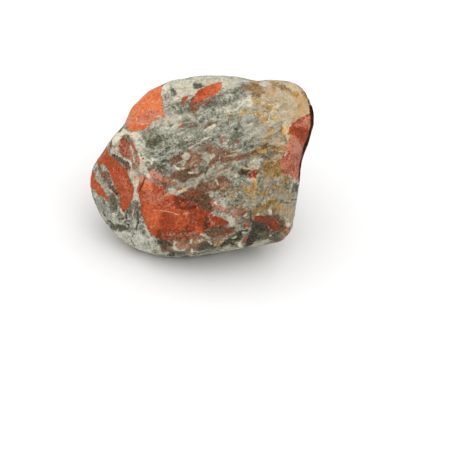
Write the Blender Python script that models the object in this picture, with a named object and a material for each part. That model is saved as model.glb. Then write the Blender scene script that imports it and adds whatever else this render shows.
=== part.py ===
# A rough piece of bloodstone: one solid lump of grey-green chalcedony and red jasper, as broken
# from the rock. Its rim is worn round, its faces are broken nearly flat, and flake scars, ledges,
# cracks and small pits lie over them. Metres, +Z up. It rests on a flat broken face at Z = 0.

import bpy
import bmesh
from math import atan2, cos, degrees, exp, hypot, pi, radians, sin
from mathutils import Matrix, Vector, noise
from random import Random

NAME = "bloodstone"
COLOUR = (0.30, 0.21, 0.15, 1.0)  # the grey-green and the red patches taken together
ROUGHNESS = 0.62
METRES_IN_MM = 0.001

# The broad face looks along OUTWARD, a line that rises this far above the table. The rim is drawn
# square to that line, and so are the places of the ledges, cracks and pits. All are in
# millimetres across and uphill from the middle, as they look from EYE_DISTANCE out.
FACE_RISE = radians(40.5)
ACROSS = Vector((1, 0, 0))
UPHILL = Vector((0, sin(FACE_RISE), cos(FACE_RISE)))
OUTWARD = Vector((0, -cos(FACE_RISE), sin(FACE_RISE)))
EYE_DISTANCE = 406.0

# The rim, anticlockwise from the right.
RIM = [
    (26.8, 14.0), (26.4, 17.0), (24.5, 20.0), (22.3, 22.6), (19.0, 23.5), (14.5, 23.2), (11.5, 22.3),
    (6.0, 22.9), (-2.2, 22.1), (-10.2, 19.6), (-15.1, 16.5), (-18.8, 11.8), (-20.1, 7.2), (-22.5, 3.8),
    (-25.4, -1.5), (-26.6, -4.1), (-26.9, -7.8), (-25.6, -11.6), (-22.4, -16.5), (-17.6, -20.7),
    (-12.3, -22.9), (-5.8, -23.9), (2.8, -22.5), (11.5, -19.5), (19.2, -17.2), (23.0, -15.9),
    (24.7, -13.0), (25.0, -2.0), (24.8, 4.5), (26.1, 9.0),
]
BULGE = 24.0         # half the thickness that the lump would have with no face broken off
RIM_FULLNESS = 3.0   # how blunt the rim is: 2 is round, higher is squarer
REST_DEPTH = 19.5    # from the middle down to the face that it rests on

# Broken faces as (bearing, slope, distance). A bearing runs round the rim in degrees, 0 to the
# right and 90 uphill. A slope is the angle from OUTWARD: 0 is the broad face and 180 the back.
# The distance is from the middle.
FACES = [
    (80, 8, 15.8), (262, 27, 17.2), (185, 45, 21.4), (222, 50, 21.4), (275, 70, 22.3), (318, 55, 22.6),
    (357, 66, 25.3), (45, 45, 24.6), (97, 55, 21.8), (145, 48, 20.8),
    (75, 138, 18.6), (128, 112, 21.4), (172, 124, 22.4), (18, 112, 24.0), (336, 126, 22.8),
    (222, 122, 22.8), (196, 156, 19.6), (300, 160, 20.6), (30, 152, 18.8),
]
EDGE_CRISPNESS = 24  # how sharply two faces meet: higher is sharper

# Shallow scars of broken flakes all over, each deeper on one side.
SCARS = 64
SCAR_RADIUS = (3.5, 8.0)
SCAR_DEPTH = 0.11    # of the radius
SCAR_SLANT = 0.8
SEED = 11

# The swell of the surface, and the streaks of relief that run with the grain.
GRAIN_BEARING = radians(37)
SWELL = 0.45
SWELL_LENGTH = 13.0
STREAK = 0.3
STREAK_LENGTH = 17.0
STREAK_WIDTH = 5.0
RIM_CALM = 4.0       # how far in from the rim the relief dies down, to keep the outline

# Ledges as (side, height, fall, points): the ground stands high on the left of the line, looking
# along it, and falls back to its level over the fall. Side is 1 on the broad face, -1 on the back.
LEDGES = [
    (1, 0.7, 9.0, [(3.5, 12.0), (7.5, 15.6), (10.5, 18.5), (17.0, 19.5)]),
    (1, 0.4, 6.0, [(-8.0, -1.0), (1.5, 3.4), (8.0, 5.6), (14.5, 8.6)]),
    (1, 0.4, 5.0, [(-3.0, -5.5), (3.5, -2.0), (12.0, -0.5), (19.5, 3.0)]),
    (1, 0.8, 5.0, [(2.0, -20.0), (6.5, -17.0), (12.0, -14.5), (19.5, -12.0)]),
    (1, 0.6, 6.0, [(-17.0, 1.0), (-14.6, -3.6), (-15.4, -11.0), (-13.0, -19.0)]),
    (-1, 1.2, 9.0, [(-16.0, -6.0), (-5.0, 2.0), (6.0, 6.5), (17.0, 13.0)]),
    (-1, 0.9, 7.0, [(-9.0, -14.0), (3.0, -6.5), (15.0, -2.0)]),
    (-1, 0.9, 7.0, [(-14.0, 5.0), (-6.0, 11.0), (5.0, 16.0)]),
]
LEDGE_STEP = 1.6     # how wide the steep side of a ledge is

# Cracks as (side, depth, width, points) and pits as (side, depth, radius, centre).
CRACKS = [
    (1, 0.4, 1.8, [(1.0, 5.0), (8.5, 8.5), (13.5, 9.5), (17.5, 11.0)]),
    (1, 0.6, 1.6, [(13.0, -11.5), (11.4, -15.0), (10.4, -19.0)]),
    (-1, 0.8, 2.0, [(-12.0, -4.0), (-2.0, -1.0), (9.0, 2.5)]),
]
PITS = [
    (1, 1.3, 2.0, (-6.7, 18.7)), (1, 1.2, 2.0, (-0.4, 20.0)), (1, 0.8, 2.4, (11.5, -0.8)),
    (1, 0.7, 2.6, (16.5, 5.0)), (1, 0.6, 2.2, (13.0, 17.2)), (1, 0.5, 2.8, (-13.0, 6.5)),
    (1, 0.8, 2.2, (7.5, -17.5)), (1, 0.6, 2.2, (-21.5, -8.0)),
    (-1, 1.5, 2.6, (-7.0, 6.0)), (-1, 1.3, 2.4, (9.0, -9.0)), (-1, 1.2, 2.2, (13.0, 8.0)),
]

SEGMENTS = 28        # mesh squares along each side of the cube that the lump is sculpted from
SOFTENING = 0.3      # how much the hard corners are rubbed down at the end
SHARP_FROM = radians(40)


def facing(bearing, slope):
    """The direction at a bearing and a slope, in radians."""
    return sin(slope) * (cos(bearing) * ACROSS + sin(bearing) * UPHILL) + cos(slope) * OUTWARD


FACE_PLANES = [(facing(radians(bearing), radians(slope)), distance) for bearing, slope, distance in FACES]


def seen(across, uphill, outward):
    """Where a point looks to be from EYE_DISTANCE out, across and uphill."""
    scale = EYE_DISTANCE / (EYE_DISTANCE - outward)
    return across * scale, uphill * scale


def rim_reach(bearing):
    """Millimetres from the middle to the rim at a bearing, in radians."""
    for start, end in zip(RIM, RIM[1:] + RIM[:1]):
        from_start = (bearing - atan2(start[1], start[0])) % (2 * pi)
        span = (atan2(end[1], end[0]) - atan2(start[1], start[0])) % (2 * pi)
        if from_start <= span:
            run, rise = end[0] - start[0], end[1] - start[1]
            return (start[0] * rise - start[1] * run) / (cos(bearing) * rise - sin(bearing) * run)


def broken_reach(direction):
    """Millimetres from the middle to the lump's surface, before it is fitted to its rim."""
    across, uphill, outward = (direction.dot(axis) for axis in (ACROSS, UPHILL, OUTWARD))
    rim = hypot(across, uphill) / rim_reach(atan2(uphill, across))
    total = (rim**RIM_FULLNESS + abs(outward / BULGE) ** RIM_FULLNESS) ** (EDGE_CRISPNESS / RIM_FULLNESS)
    for normal, distance in FACE_PLANES:
        total += max(0.0, direction.dot(normal) / distance) ** EDGE_CRISPNESS
    return total ** (-1 / EDGE_CRISPNESS)


def rim_stretch():
    """How far each bearing has to be stretched for the lump to fill its rim, one for each degree."""
    stretch = []
    for bearing in [radians(degree) for degree in range(360)]:
        widest = 0.0
        for slope in [radians(degree) for degree in range(50, 121, 5)]:
            reach = broken_reach(facing(bearing, slope))
            widest = max(widest, seen(reach * sin(slope), 0.0, reach * cos(slope))[0])
        stretch.append(rim_reach(bearing) / widest)
    return stretch


def flake_scars():
    """Hollows left by broken flakes, as (centre, radius, the way that the hollow deepens)."""
    chance = Random(SEED)
    scars = []
    for _ in range(SCARS):
        spot = Vector([chance.gauss(0, 1) for _ in range(3)]).normalized()
        deeper = Vector([chance.gauss(0, 1) for _ in range(3)]).cross(spot).normalized()
        scars.append((spot * broken_reach(spot), chance.uniform(*SCAR_RADIUS), deeper))
    return scars


def off_line(place, points):
    """How far a place is from a bent line, positive on its left."""
    nearest = float("inf")
    for start, end in zip(points, points[1:]):
        along = (end[0] - start[0], end[1] - start[1])
        away = (place[0] - start[0], place[1] - start[1])
        part = (away[0] * along[0] + away[1] * along[1]) / (along[0] ** 2 + along[1] ** 2)
        part = min(1.0, max(0.0, part))
        gap = hypot(away[0] - part * along[0], away[1] - part * along[1])
        if gap < abs(nearest):
            on_left = along[0] * away[1] >= along[1] * away[0]
            nearest = gap if on_left else -gap
    return nearest


def relief(point, scars):
    """How far the surface stands out at a point of it, in millimetres."""
    across, uphill, outward = (point.dot(axis) for axis in (ACROSS, UPHILL, OUTWARD))
    side = 1 if outward > 0 else -1
    place = seen(across, uphill, outward)
    along = across * cos(GRAIN_BEARING) + uphill * sin(GRAIN_BEARING)
    athwart = uphill * cos(GRAIN_BEARING) - across * sin(GRAIN_BEARING)
    streaked = Vector((along / STREAK_LENGTH, athwart / STREAK_WIDTH, outward / STREAK_WIDTH))
    height = SWELL * noise.noise(point / SWELL_LENGTH) + STREAK * noise.noise(streaked)
    for face, rise, fall, points in LEDGES:
        gap = off_line(place, points)
        if face == side and 0 < gap < fall:
            height += rise * min(gap / LEDGE_STEP, 1) * (1 - gap / fall)
    for face, depth, width, points in CRACKS:
        if face == side:
            height -= depth * exp(-((off_line(place, points) / width) ** 2))
    for face, depth, radius, centre in PITS:
        if face == side:
            height -= depth * exp(-((hypot(place[0] - centre[0], place[1] - centre[1]) / radius) ** 2))
    for centre, radius, deeper in scars:
        away = (point - centre) / radius
        if away.length < 1:
            height -= SCAR_DEPTH * radius * (1 - away.length_squared) * (1 + SCAR_SLANT * away.dot(deeper))
    return height


def sculpted(direction, stretch, scars):
    """The point of the surface in a direction from the middle."""
    reach = broken_reach(direction)
    across, uphill, outward = (reach * direction.dot(axis) for axis in (ACROSS, UPHILL, OUTWARD))
    bearing = atan2(uphill, across)
    turn = degrees(bearing) % 360
    whole, part = int(turn), turn % 1
    grow = stretch[whole] * (1 - part) + stretch[(whole + 1) % 360] * part
    point = grow * (across * ACROSS + uphill * UPHILL) + outward * OUTWARD
    inside = rim_reach(bearing) - hypot(*seen(grow * across, grow * uphill, outward))
    calm = min(1.0, max(0.0, inside / RIM_CALM))
    calm = calm * calm * (3 - 2 * calm)
    return point + calm * relief(point, scars) * direction


def break_flat_below(bm):
    """Cuts the flat face that the lump rests on, and closes the cut."""
    cut = bmesh.ops.bisect_plane(
        bm, geom=bm.verts[:] + bm.edges[:] + bm.faces[:],
        plane_co=(0, 0, -REST_DEPTH), plane_no=(0, 0, -1), clear_outer=True,
    )
    rest_edges = [part for part in cut["geom_cut"] if isinstance(part, bmesh.types.BMEdge)]
    bmesh.ops.contextual_create(bm, geom=rest_edges)


def stand_on_origin(bm):
    """Brings millimetres to metres, with the origin under the middle of the lump's box."""
    low = Vector([min(vert.co[axis] for vert in bm.verts) for axis in range(3)])
    high = Vector([max(vert.co[axis] for vert in bm.verts) for axis in range(3)])
    foot = Vector(((low.x + high.x) / 2, (low.y + high.y) / 2, low.z))
    to_origin = Matrix.Scale(METRES_IN_MM, 4) @ Matrix.Translation(-foot)
    bmesh.ops.transform(bm, matrix=to_origin, verts=bm.verts)


def lump_mesh():
    """The whole lump, sculpted from a cube with a fine grid on its sides."""
    bm = bmesh.new()
    bmesh.ops.create_cube(bm, size=2)
    bmesh.ops.subdivide_edges(bm, edges=bm.edges[:], cuts=SEGMENTS - 1, use_grid_fill=True)
    stretch = rim_stretch()
    scars = flake_scars()
    for vert in bm.verts:
        direction = Vector([sin(part * pi / 4) for part in vert.co]).normalized()
        vert.co = sculpted(direction, stretch, scars)
    bmesh.ops.smooth_vert(
        bm, verts=bm.verts[:], factor=SOFTENING, use_axis_x=True, use_axis_y=True, use_axis_z=True
    )
    break_flat_below(bm)
    stand_on_origin(bm)
    bmesh.ops.triangulate(bm, faces=bm.faces[:])
    bmesh.ops.recalc_face_normals(bm, faces=bm.faces[:])
    mesh = bpy.data.meshes.new(NAME)
    bm.to_mesh(mesh)
    bm.free()
    mesh.shade_smooth()
    mesh.set_sharp_from_angle(angle=SHARP_FROM)
    return mesh


def stone_material():
    """Dull broken stone."""
    material = bpy.data.materials.new(NAME)
    material.use_nodes = True
    shader = material.node_tree.nodes["Principled BSDF"]
    shader.inputs["Base Color"].default_value = COLOUR
    shader.inputs["Roughness"].default_value = ROUGHNESS
    shader.inputs["Metallic"].default_value = 0.0
    return material


for old in list(bpy.data.objects):
    bpy.data.objects.remove(old)
lump = bpy.data.objects.new(NAME, lump_mesh())
lump.data.materials.append(stone_material())
bpy.context.scene.collection.objects.link(lump)
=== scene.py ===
from math import cos, pi, radians, sin
from random import Random

import bmesh
import bpy
import numpy as np
from mathutils import Matrix, Vector, noise


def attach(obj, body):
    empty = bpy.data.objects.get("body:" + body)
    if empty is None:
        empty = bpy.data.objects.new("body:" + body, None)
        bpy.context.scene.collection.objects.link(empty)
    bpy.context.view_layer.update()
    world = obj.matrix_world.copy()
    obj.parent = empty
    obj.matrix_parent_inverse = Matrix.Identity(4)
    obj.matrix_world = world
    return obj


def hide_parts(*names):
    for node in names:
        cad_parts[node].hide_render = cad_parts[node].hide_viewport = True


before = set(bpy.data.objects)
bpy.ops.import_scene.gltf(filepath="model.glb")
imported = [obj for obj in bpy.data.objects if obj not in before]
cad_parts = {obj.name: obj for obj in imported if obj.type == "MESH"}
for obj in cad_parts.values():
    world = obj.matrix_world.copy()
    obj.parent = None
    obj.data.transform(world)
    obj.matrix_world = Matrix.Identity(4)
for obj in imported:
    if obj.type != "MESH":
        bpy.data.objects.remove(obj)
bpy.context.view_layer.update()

mm = 0.001

# Where the picture was taken from. The marks on the stone are drawn as seen from here.
pictureView = {
    "stoneMiddle": (0.195, -0.285, 19.5),  # mm, what the camera's place is measured from
    "fromMiddle": (7.98, -318.0, 253.0),   # mm
    "down": 40.48,                         # degrees below the horizon
    "roll": 7.43,                          # degrees that the picture leans
    "lens": 130.08,
    "sensor": 36.0,
    "size": 450,                           # pixels across and down
    "pixelsPerMm": 4.0,                    # at the stone
}

stoneMiddle = Vector(pictureView["stoneMiddle"]) * mm
cameraPlace = stoneMiddle + Vector(pictureView["fromMiddle"]) * mm
down, roll = radians(pictureView["down"]), radians(pictureView["roll"])
ahead = Vector((0, cos(down), -sin(down)))
uphill = Vector((0, sin(down), cos(down)))
across = Vector((1, 0, 0))
pictureRight = cos(roll) * across + sin(roll) * uphill
pictureUp = cos(roll) * uphill - sin(roll) * across


def pictureSpots(points):
    # where points in metres show in the picture, in pixels from its top left corner
    away = points - np.array(cameraPlace)
    far = away @ np.array(ahead)
    pixels = pictureView["lens"] / pictureView["sensor"] * pictureView["size"]
    half = pictureView["size"] / 2
    right = half + pixels * (away @ np.array(pictureRight)) / far
    lower = half - pixels * (away @ np.array(pictureUp)) / far
    return np.column_stack((right, lower))


# The stone, in mm.
stone = {
    "voxel": 0.33,
    "smoothing": 5,
    "swell": 0.17,                   # what the smoothing takes off and this gives back
    "grainLean": 27,                 # degrees that the streaks climb to the right in the picture
    "rimCalm": 0.45,                 # how much of the roughness is left along the outline
    "redCalm": 0.4,                  # and in the red jasper, which breaks smoother
    "footCalm": (0.25, 0.02, 1.6),   # and at the foot, between these heights
    "bumps": (4.2, 0.20),            # size and height
    "grit": (1.3, 0.09),
    "streaks": (7.0, 1.5, 0.16),     # length, width, height
    "chips": (6.0, 2.8, 0.30),       # length, width, height of the small broken faces
    "chipBend": (2.5, 0.25),         # size and amount
    "pits": (3.2, 0.45),             # spacing and depth
    "darkSunk": 0.30,                # how far the dark green lies below the rest
    "seamSunk": 0.25,
    "paleRise": 0.12,
    "redGroove": 0.06,               # round the red
    "restingFace": 0.15,             # what lies lower than this and faces down stays flat
    "edgeWander": (1.1, 0.55),       # how the marks' edges wander: size, and amount in pixels
    "veinSlope": 2.5,                # how quickly a vein comes up at its sides
    "wrap": 3.0,                     # how far the marks run on round the outline
    "frontEnd": (3.0, 1.2),          # how unevenly they end there: size and amount
    "turnedAway": (0.15, 14),        # they also end where the surface turns away: where, how sharply
    "rindTone": 0.04,
}

# The marks on the side that the picture shows. Corners and widths are pixels of the picture.
# Each patch is what it is made of, its tone from dark to light, and its outline. Some dark ones are painted
# shade.
patches = {
    # quartz
    "quartzTop": ("quartz", 0.5, [
        (249, 97.5), (255, 97), (262, 93), (266, 88), (262, 84), (266, 80), (288, 80), (300, 83), (308, 90),
        (312, 102), (312, 110), (306, 115), (300, 117.5), (294, 121), (289.5, 125), (286, 124), (275, 119),
        (268, 111), (258, 109), (251, 108.5)]),
    "quartzRight": ("quartz", 0.62, [
        (272, 142), (276, 141), (284, 140.5), (287, 142), (285.5, 146), (280, 146.5), (275, 145.5)]),
    "quartzLowRight": ("quartz", 0.28, [
        (280, 205), (285, 203.5), (291, 205), (295, 212), (294, 220), (288, 222), (284, 217), (281, 211)]),
    "quartzLeft": ("quartz", 0.7, [
        (129.5, 171), (133, 170), (138, 174), (140, 180), (139, 185), (134.5, 186), (131.5, 182)]),
    "quartzFoot": ("quartz", 0.3, [(280, 238), (282, 232), (287, 228), (294, 228), (292, 235), (286, 238)]),
    "quartzStreak": ("quartz", 0.75, [
        (251, 160), (256, 158.5), (260, 160), (259, 165), (257, 168), (252, 167), (248, 165)]),
    "quartzPeach": ("quartz", 0.95, [(275.5, 104), (278, 103.5), (279.5, 107), (278, 109.5), (275.5, 108.5)]),
    "quartzTopRight": ("quartz", 0.75, [
        (279, 83.5), (286, 84), (293, 86), (299, 90), (301.5, 96), (299, 97.5), (297.5, 92.7), (292.5, 91),
        (288, 88)]),
    # iron-stained brown, and pink where it is pale
    "ironUpper": ("iron", 0.4, [
        (168.5, 160), (177, 154.5), (180, 155), (183, 157), (182, 160), (179, 161.5), (176, 162), (174, 165),
        (171, 165.5), (169, 163.5)]),
    "ironMiddle": ("iron", 0.7, [
        (187, 150), (191, 149), (195, 151), (199, 154), (202, 158), (203, 161), (199, 166), (200, 169),
        (190, 169.5), (183, 167), (180, 168), (179, 165.5), (183, 164.5), (187, 162), (190, 158)]),
    "ironDeep": ("iron", 0.3, [
        (170.5, 175), (178, 170.5), (189, 169), (191, 172), (195, 174), (205, 170), (204, 174), (199, 177),
        (189.5, 178), (188, 181), (184, 183), (172, 179)]),
    "ironBelow": ("iron", 0.4, [
        (199.5, 182.5), (212, 181), (215, 182.5), (217.5, 180.5), (217, 178), (219, 175.5), (223, 175.5),
        (226, 178), (229, 179), (230, 181), (229, 184), (229, 187), (226, 189), (221, 189), (218, 191),
        (212, 190), (207, 192), (206, 195), (208, 198), (208, 202), (206, 206), (208, 211), (204, 214),
        (197, 208), (190, 204), (181, 200), (178, 196), (189, 192), (192, 189), (196, 189), (199.5, 188)]),
    "ironBandLeft": ("iron", 0.38, [
        (199, 170), (204, 169), (208, 165.5), (211, 161.5), (214, 160), (219, 153), (220.5, 155),
        (215.5, 163.5), (209, 169), (205, 171), (200, 172.5)]),
    "ironBandRight": ("iron", 0.42, [
        (240, 156.5), (250, 152.5), (255, 149.5), (258, 148.5), (258, 150.5), (248, 156.5), (243, 158)]),
    "ironBandMiddle": ("iron", 0.42, [
        (218.5, 159), (221, 157.5), (227, 157), (232, 158), (231, 160.5), (222, 163), (219, 161.5)]),
    "ironSmall": ("iron", 0.75, [
        (206, 151), (209, 148.5), (212, 147), (215.5, 148), (215, 150.5), (212, 153)]),
    "ironHigh": ("iron", 0.5, [
        (203, 128), (206, 125), (207, 122), (209, 120), (212, 121.5), (216, 120.5), (216, 123), (212, 124.5),
        (205, 129.5)]),
    "ironLow": ("iron", 0.28, [
        (208, 228), (212, 226), (218, 226), (224, 225), (230, 225), (235, 226.5), (234, 229), (228, 235),
        (225, 236.5), (222, 236), (216, 238), (212, 237), (209, 233)]),
    "ironFootLeft": ("iron", 0.4, [(160, 247), (165, 245), (171, 246), (172.5, 249), (168, 250), (162, 250)]),
    "ironFootMiddle": ("iron", 0.95, [
        (176, 241), (180, 240), (186, 240), (189, 242), (190, 246), (187, 248), (181, 248.6), (177, 247),
        (175.5, 244)]),
    "ironSpot": ("iron", 0.35, [
        (219.5, 153.5), (221, 150.5), (225, 149.5), (229, 150), (232, 152), (231.5, 154.5), (227, 155.8),
        (222, 155.5)]),
    "ironPit": ("iron", 0.08, [
        (239.5, 171), (243, 169), (250, 170.5), (249.5, 176), (248, 178), (244, 177), (240, 175)]),
    "ironRound": ("iron", 0.22, [
        (263, 214.8), (270, 214), (276, 214.5), (280, 216.5), (283.5, 220), (285, 224), (285, 229),
        (282, 231.5), (277, 230.5), (278, 226), (276, 221), (272, 218), (266, 216.5)]),
    "ironLeftEdge": ("iron", 0.5, [(101, 172), (105, 170), (110, 172), (110, 178), (106, 181), (102, 178)]),
    "ironLeftStrip": ("iron", 0.2, [(108, 184), (113, 185), (117, 191), (118, 197), (114, 196), (110, 190)]),
    "ironStrip": ("iron", 0.25, [
        (120.5, 160), (126, 160.5), (130.5, 164), (131.5, 168), (131, 171.5), (127, 169), (123, 165)]),
    "ironAboveRed": ("iron", 0.6, [
        (152, 177), (158, 174), (164, 176), (170, 179.5), (176, 182), (176, 185), (160, 184), (154, 181.5)]),
    "ironUnderStreak": ("iron", 0.35, [
        (190, 103), (196, 103), (202, 100.5), (218, 95.5), (215, 98.5), (202, 104.5), (199, 110), (194, 113),
        (190, 110)]),
    "ironBelowRed": ("iron", 0.25, [
        (161, 236), (178, 237.5), (198, 233), (205, 229), (210, 228), (209, 236), (201, 233.5), (196, 238),
        (176, 240.5), (166, 241)]),
    "ironOverRed": ("iron", 0.22, [
        (161, 181), (165, 180), (169, 181.5), (170.5, 185), (168, 187.5), (164, 186.5), (161, 184.5)]),
    "ironBesideRed": ("iron", 0.2, [
        (181, 193), (186, 192.5), (190, 194.5), (198, 191), (206, 191), (213, 199), (212, 204), (213, 210),
        (209, 213), (193, 204), (188, 200), (183, 197)]),
    "ironTail": ("iron", 0.5, [
        (191, 101), (197, 101), (204, 98.5), (204, 101), (202, 105), (197, 105), (192, 106)]),
    "ironRightRim": ("iron", 0.2, [(271, 241), (281, 237), (287, 236), (286, 241), (278, 243)]),
    "cornerPink": ("iron", 0.95, [
        (283.5, 229.5), (286.5, 227.8), (289.5, 229), (289, 233.5), (285, 236.5), (282, 235)]),
    "cornerBrown": ("iron", 0.5, [
        (279, 238.5), (282, 236.8), (286, 235.8), (288, 236.5), (285, 240), (280, 241.5)]),
    "underLowRed": ("iron", 0.65, [
        (158, 231), (172, 229), (190, 231), (202, 230), (204, 236), (192, 240), (176, 240), (160, 239)]),
    "pinkUnderStreak": ("iron", 0.7, [
        (191, 103), (194, 104), (217, 94.5), (218.5, 95.5), (214, 98.5), (202, 103.5), (197, 107),
        (192, 107)]),
    "pinkShred": ("iron", 0.75, [
        (134, 158), (136.5, 160), (138.5, 165), (138, 170), (135.5, 168), (134, 163)]),
    "pinkBand": ("iron", 0.66, [
        (236, 159.3), (240, 156.8), (250, 153.6), (262, 148.6), (262.5, 150.8), (238.5, 161)]),
    "pinkInIronA": ("iron", 0.8, [
        (206.5, 184), (210, 182.7), (216, 183.5), (217, 187), (213, 189), (209, 187.5)]),
    "pinkInIronB": ("iron", 0.85, [
        (220, 186), (223, 182), (227.5, 181), (229, 184), (226, 187.5), (222, 187.5)]),
    # ochre and olive, and a painted shadow under a ledge
    "ochreTopLeft": ("ochre", 0.5, [
        (253.5, 102.5), (256, 100), (260, 99), (263.5, 100.5), (264.5, 104), (262, 106.5), (258, 106.5),
        (254.5, 105)]),
    "ochreTopRight": ("ochre", 0.45, [
        (260, 104.5), (268, 104.3), (273, 105.5), (275, 108), (271, 110.5), (265, 110), (261, 107.5)]),
    "ochreRim": ("ochre", 0.25, [(301, 90), (303.5, 88), (308, 92), (307, 99), (304, 98)]),
    "ochreEdgeTop": ("ochre", 0.3, [
        (271, 83.5), (278, 83), (283, 84.5), (287.5, 87), (294, 94), (290.5, 95), (286, 91), (281, 88.5),
        (276, 87.5), (272, 89)]),
    "ochreUnderEdge": ("ochre", 0.32, [(272, 87), (277, 87.5), (276, 91), (273, 94.5), (270.5, 92)]),
    "oliveTop": ("ochre", 0.24, [
        (250, 83), (253, 82.3), (260, 85), (261.5, 87.5), (258, 89), (254, 92), (250.5, 90.5), (249.5, 86)]),
    "ochreLeft": ("ochre", 0.6, [
        (239, 113), (241, 110.5), (245, 110.5), (246, 112.5), (243, 114), (241, 116), (239.5, 115)]),
    "ochreFleckA": ("ochre", 0.5, [
        (261, 114), (264, 112.5), (267, 113), (267.5, 116.5), (269, 119), (266, 121), (263, 118)]),
    "ochreFleckB": ("ochre", 0.4, [(260, 122), (264, 122.5), (268, 121.5), (267, 125), (262, 125.3)]),
    "ochreFleckC": ("ochre", 0.45, [(268, 127.5), (271, 126.5), (274.5, 128), (272, 130), (268.5, 130)]),
    "ochreBeside": ("ochre", 0.6, [
        (279, 128), (282, 125), (284, 126), (285.5, 130), (286, 134), (283, 136.5), (280, 137), (279, 133)]),
    "ochreBand": ("ochre", 0.25, [
        (256, 140.2), (261, 138.5), (267, 138), (283, 133.5), (283, 135), (272, 138.8), (259, 141.3)]),
    "oliveDark": ("ochre", 0.1, [
        (259.5, 145), (262, 143.5), (266, 142.5), (271, 144), (275, 146), (275, 148.3), (267, 149.7),
        (262, 149.7), (260, 147.5)]),
    "oliveRight": ("ochre", 0.35, [
        (273, 149), (277, 147), (281, 147), (286, 148.5), (286, 152), (283, 153.5), (281, 151), (277, 152),
        (274, 151.5)]),
    "ochreBig": ("ochre", 0.3, [
        (262, 167), (266, 162), (270, 160.5), (276, 163), (281, 166), (283, 170), (282, 174), (278, 177),
        (273, 177), (270, 175), (268, 171.5), (263, 171.5)]),
    "ochreColumn": ("ochre", 0.45, [
        (280, 151), (283.5, 152), (283, 158), (281, 163), (279, 166), (277, 163), (279, 158)]),
    "ochreSpotA": ("ochre", 0.4, [
        (270.5, 185), (273, 183), (277, 184), (278, 187), (275, 188.5), (271.5, 187.5)]),
    "ochreSpotB": ("ochre", 0.3, [(283.5, 178), (286, 176), (288.5, 178.5), (287, 181.5), (284, 181)]),
    "ochreLow": ("ochre", 0.45, [
        (244.5, 190), (247, 188), (250, 190), (252, 189.5), (253, 193), (250, 194.7), (246, 193.5)]),
    "ochreUnderIron": ("ochre", 0.4, [
        (220, 190.5), (223, 189.5), (226.5, 190.5), (226.5, 193.5), (223, 194.8), (220.5, 193)]),
    "ochreWave": ("ochre", 0.3, [
        (254, 208.5), (256, 205.5), (264, 203.7), (266, 201), (269, 199.3), (272, 200), (275, 202.5),
        (272, 204.2), (268, 204.7), (264, 207.7), (260, 209.7), (256, 210.5)]),
    "ochreWaveEnd": ("ochre", 0.6, [(275, 207), (277, 204.7), (280, 205.5), (278.5, 208.5), (275.5, 209)]),
    "ochreFoot": ("ochre", 0.6, [(196.3, 240.5), (197.5, 239), (198.8, 240), (198.3, 241.8)]),
    "ochreFootB": ("ochre", 0.42, [(201, 240), (205, 239), (208.5, 241), (206, 242.3), (202, 242.3)]),
    "ochreFootC": ("ochre", 0.42, [(211, 241), (214, 238.5), (220, 238), (221, 241), (217, 244), (213, 244)]),
    "oliveBelowBand": ("ochre", 0.2, [
        (247, 155.5), (251, 152), (257, 150), (259, 152.5), (255, 155.5), (250, 157.5)]),
    "ochreSmearD": ("ochre", 0.55, [(240, 208), (243, 205.5), (248, 206), (249.5, 208.5), (245, 209.5)]),
    "ochreEdge": ("ochre", 0.3, [(283.5, 229), (289, 233), (288, 236), (284, 235.5), (283, 232)]),
    "ochreSpot": ("ochre", 0.25, [(191, 111.5), (193.5, 110), (196, 111.8), (195, 114.2), (192, 114)]),
    # painted shadow: a dark olive patch where the hollow under the ledge at the top right lies in shade
    "shadowUnderLedge": ("ochre", 0.12, [(255.5, 96.7), (260, 92), (264, 91.2), (266.3, 92.3), (259, 97.3)]),
    # dark green, and painted shade in pits and along ledges
    "darkPeak": ("dark", 0.9, [
        (124, 136), (126.5, 133.5), (129, 135.5), (132.5, 152), (130.5, 150), (128.5, 144), (125.5, 139.5),
        (122.5, 139)]),
    "darkUnderStreak": ("dark", 0.62, [
        (204.5, 104.5), (208, 101.5), (211, 100.5), (215, 101), (216.5, 103.5), (213, 105.5), (205, 107.2)]),
    "oliveLine": ("dark", 0.45, [(160, 161.5), (164, 159.5), (169.5, 160), (169, 162.5), (160.5, 163)]),
    # painted shade: a dark patch in the small pit at the top left
    "shadedPitTopLeft": ("dark", 0.45, [
        (170, 89.5), (171.5, 88), (173.5, 88.5), (176, 91), (176.7, 93), (174, 95.2), (171, 93),
        (169.7, 91)]),
    # painted shade: a dark patch in the pit under the ledge at the top
    "shadedPitTop": ("dark", 0.42, [(193, 83), (199, 82.5), (204, 85), (206, 85.3), (201, 88.5), (194, 89.7)]),
    "wedge": ("dark", 0.66, [
        (231.5, 93.5), (234, 90), (237, 88), (242, 86.3), (244.5, 86.3), (241.5, 89.2), (234, 94.3)]),
    # painted shadow: a dark patch where the step below the pale lump casts shade
    "shadowBesideStreak": ("dark", 0.22, [(189.5, 100.5), (191, 97.5), (196.5, 95.8), (195.5, 98), (191.5, 101.5)]),
    "greenLeft": ("dark", 0.92, [
        (143, 135), (147, 131), (153, 130), (157, 133), (163, 143), (159, 147.5), (152, 149), (147, 146),
        (144, 141)]),
    "greenLeftLow": ("dark", 0.5, [
        (145, 140), (150, 138.5), (156, 140), (157, 145), (153, 148), (148, 147.5), (145, 144.5)]),
    "greenLeftHigh": ("dark", 0.62, [(155, 138), (158, 135), (162, 136), (163, 140), (160, 143), (156, 142)]),
    "greenMiddle": ("dark", 0.69, [(180, 141), (185, 140), (190, 142), (189, 146), (185, 148.5), (181, 146)]),
    "darkFork": ("dark", 0.75, [
        (175.5, 104), (178, 102.5), (180, 105), (180, 109), (183, 113), (181, 114.5), (177, 111),
        (175.5, 107.5)]),
    "stripLeft": ("dark", 0.5, [(110, 155.5), (114, 153.5), (122, 159), (124, 162), (123, 165.5)]),
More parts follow.
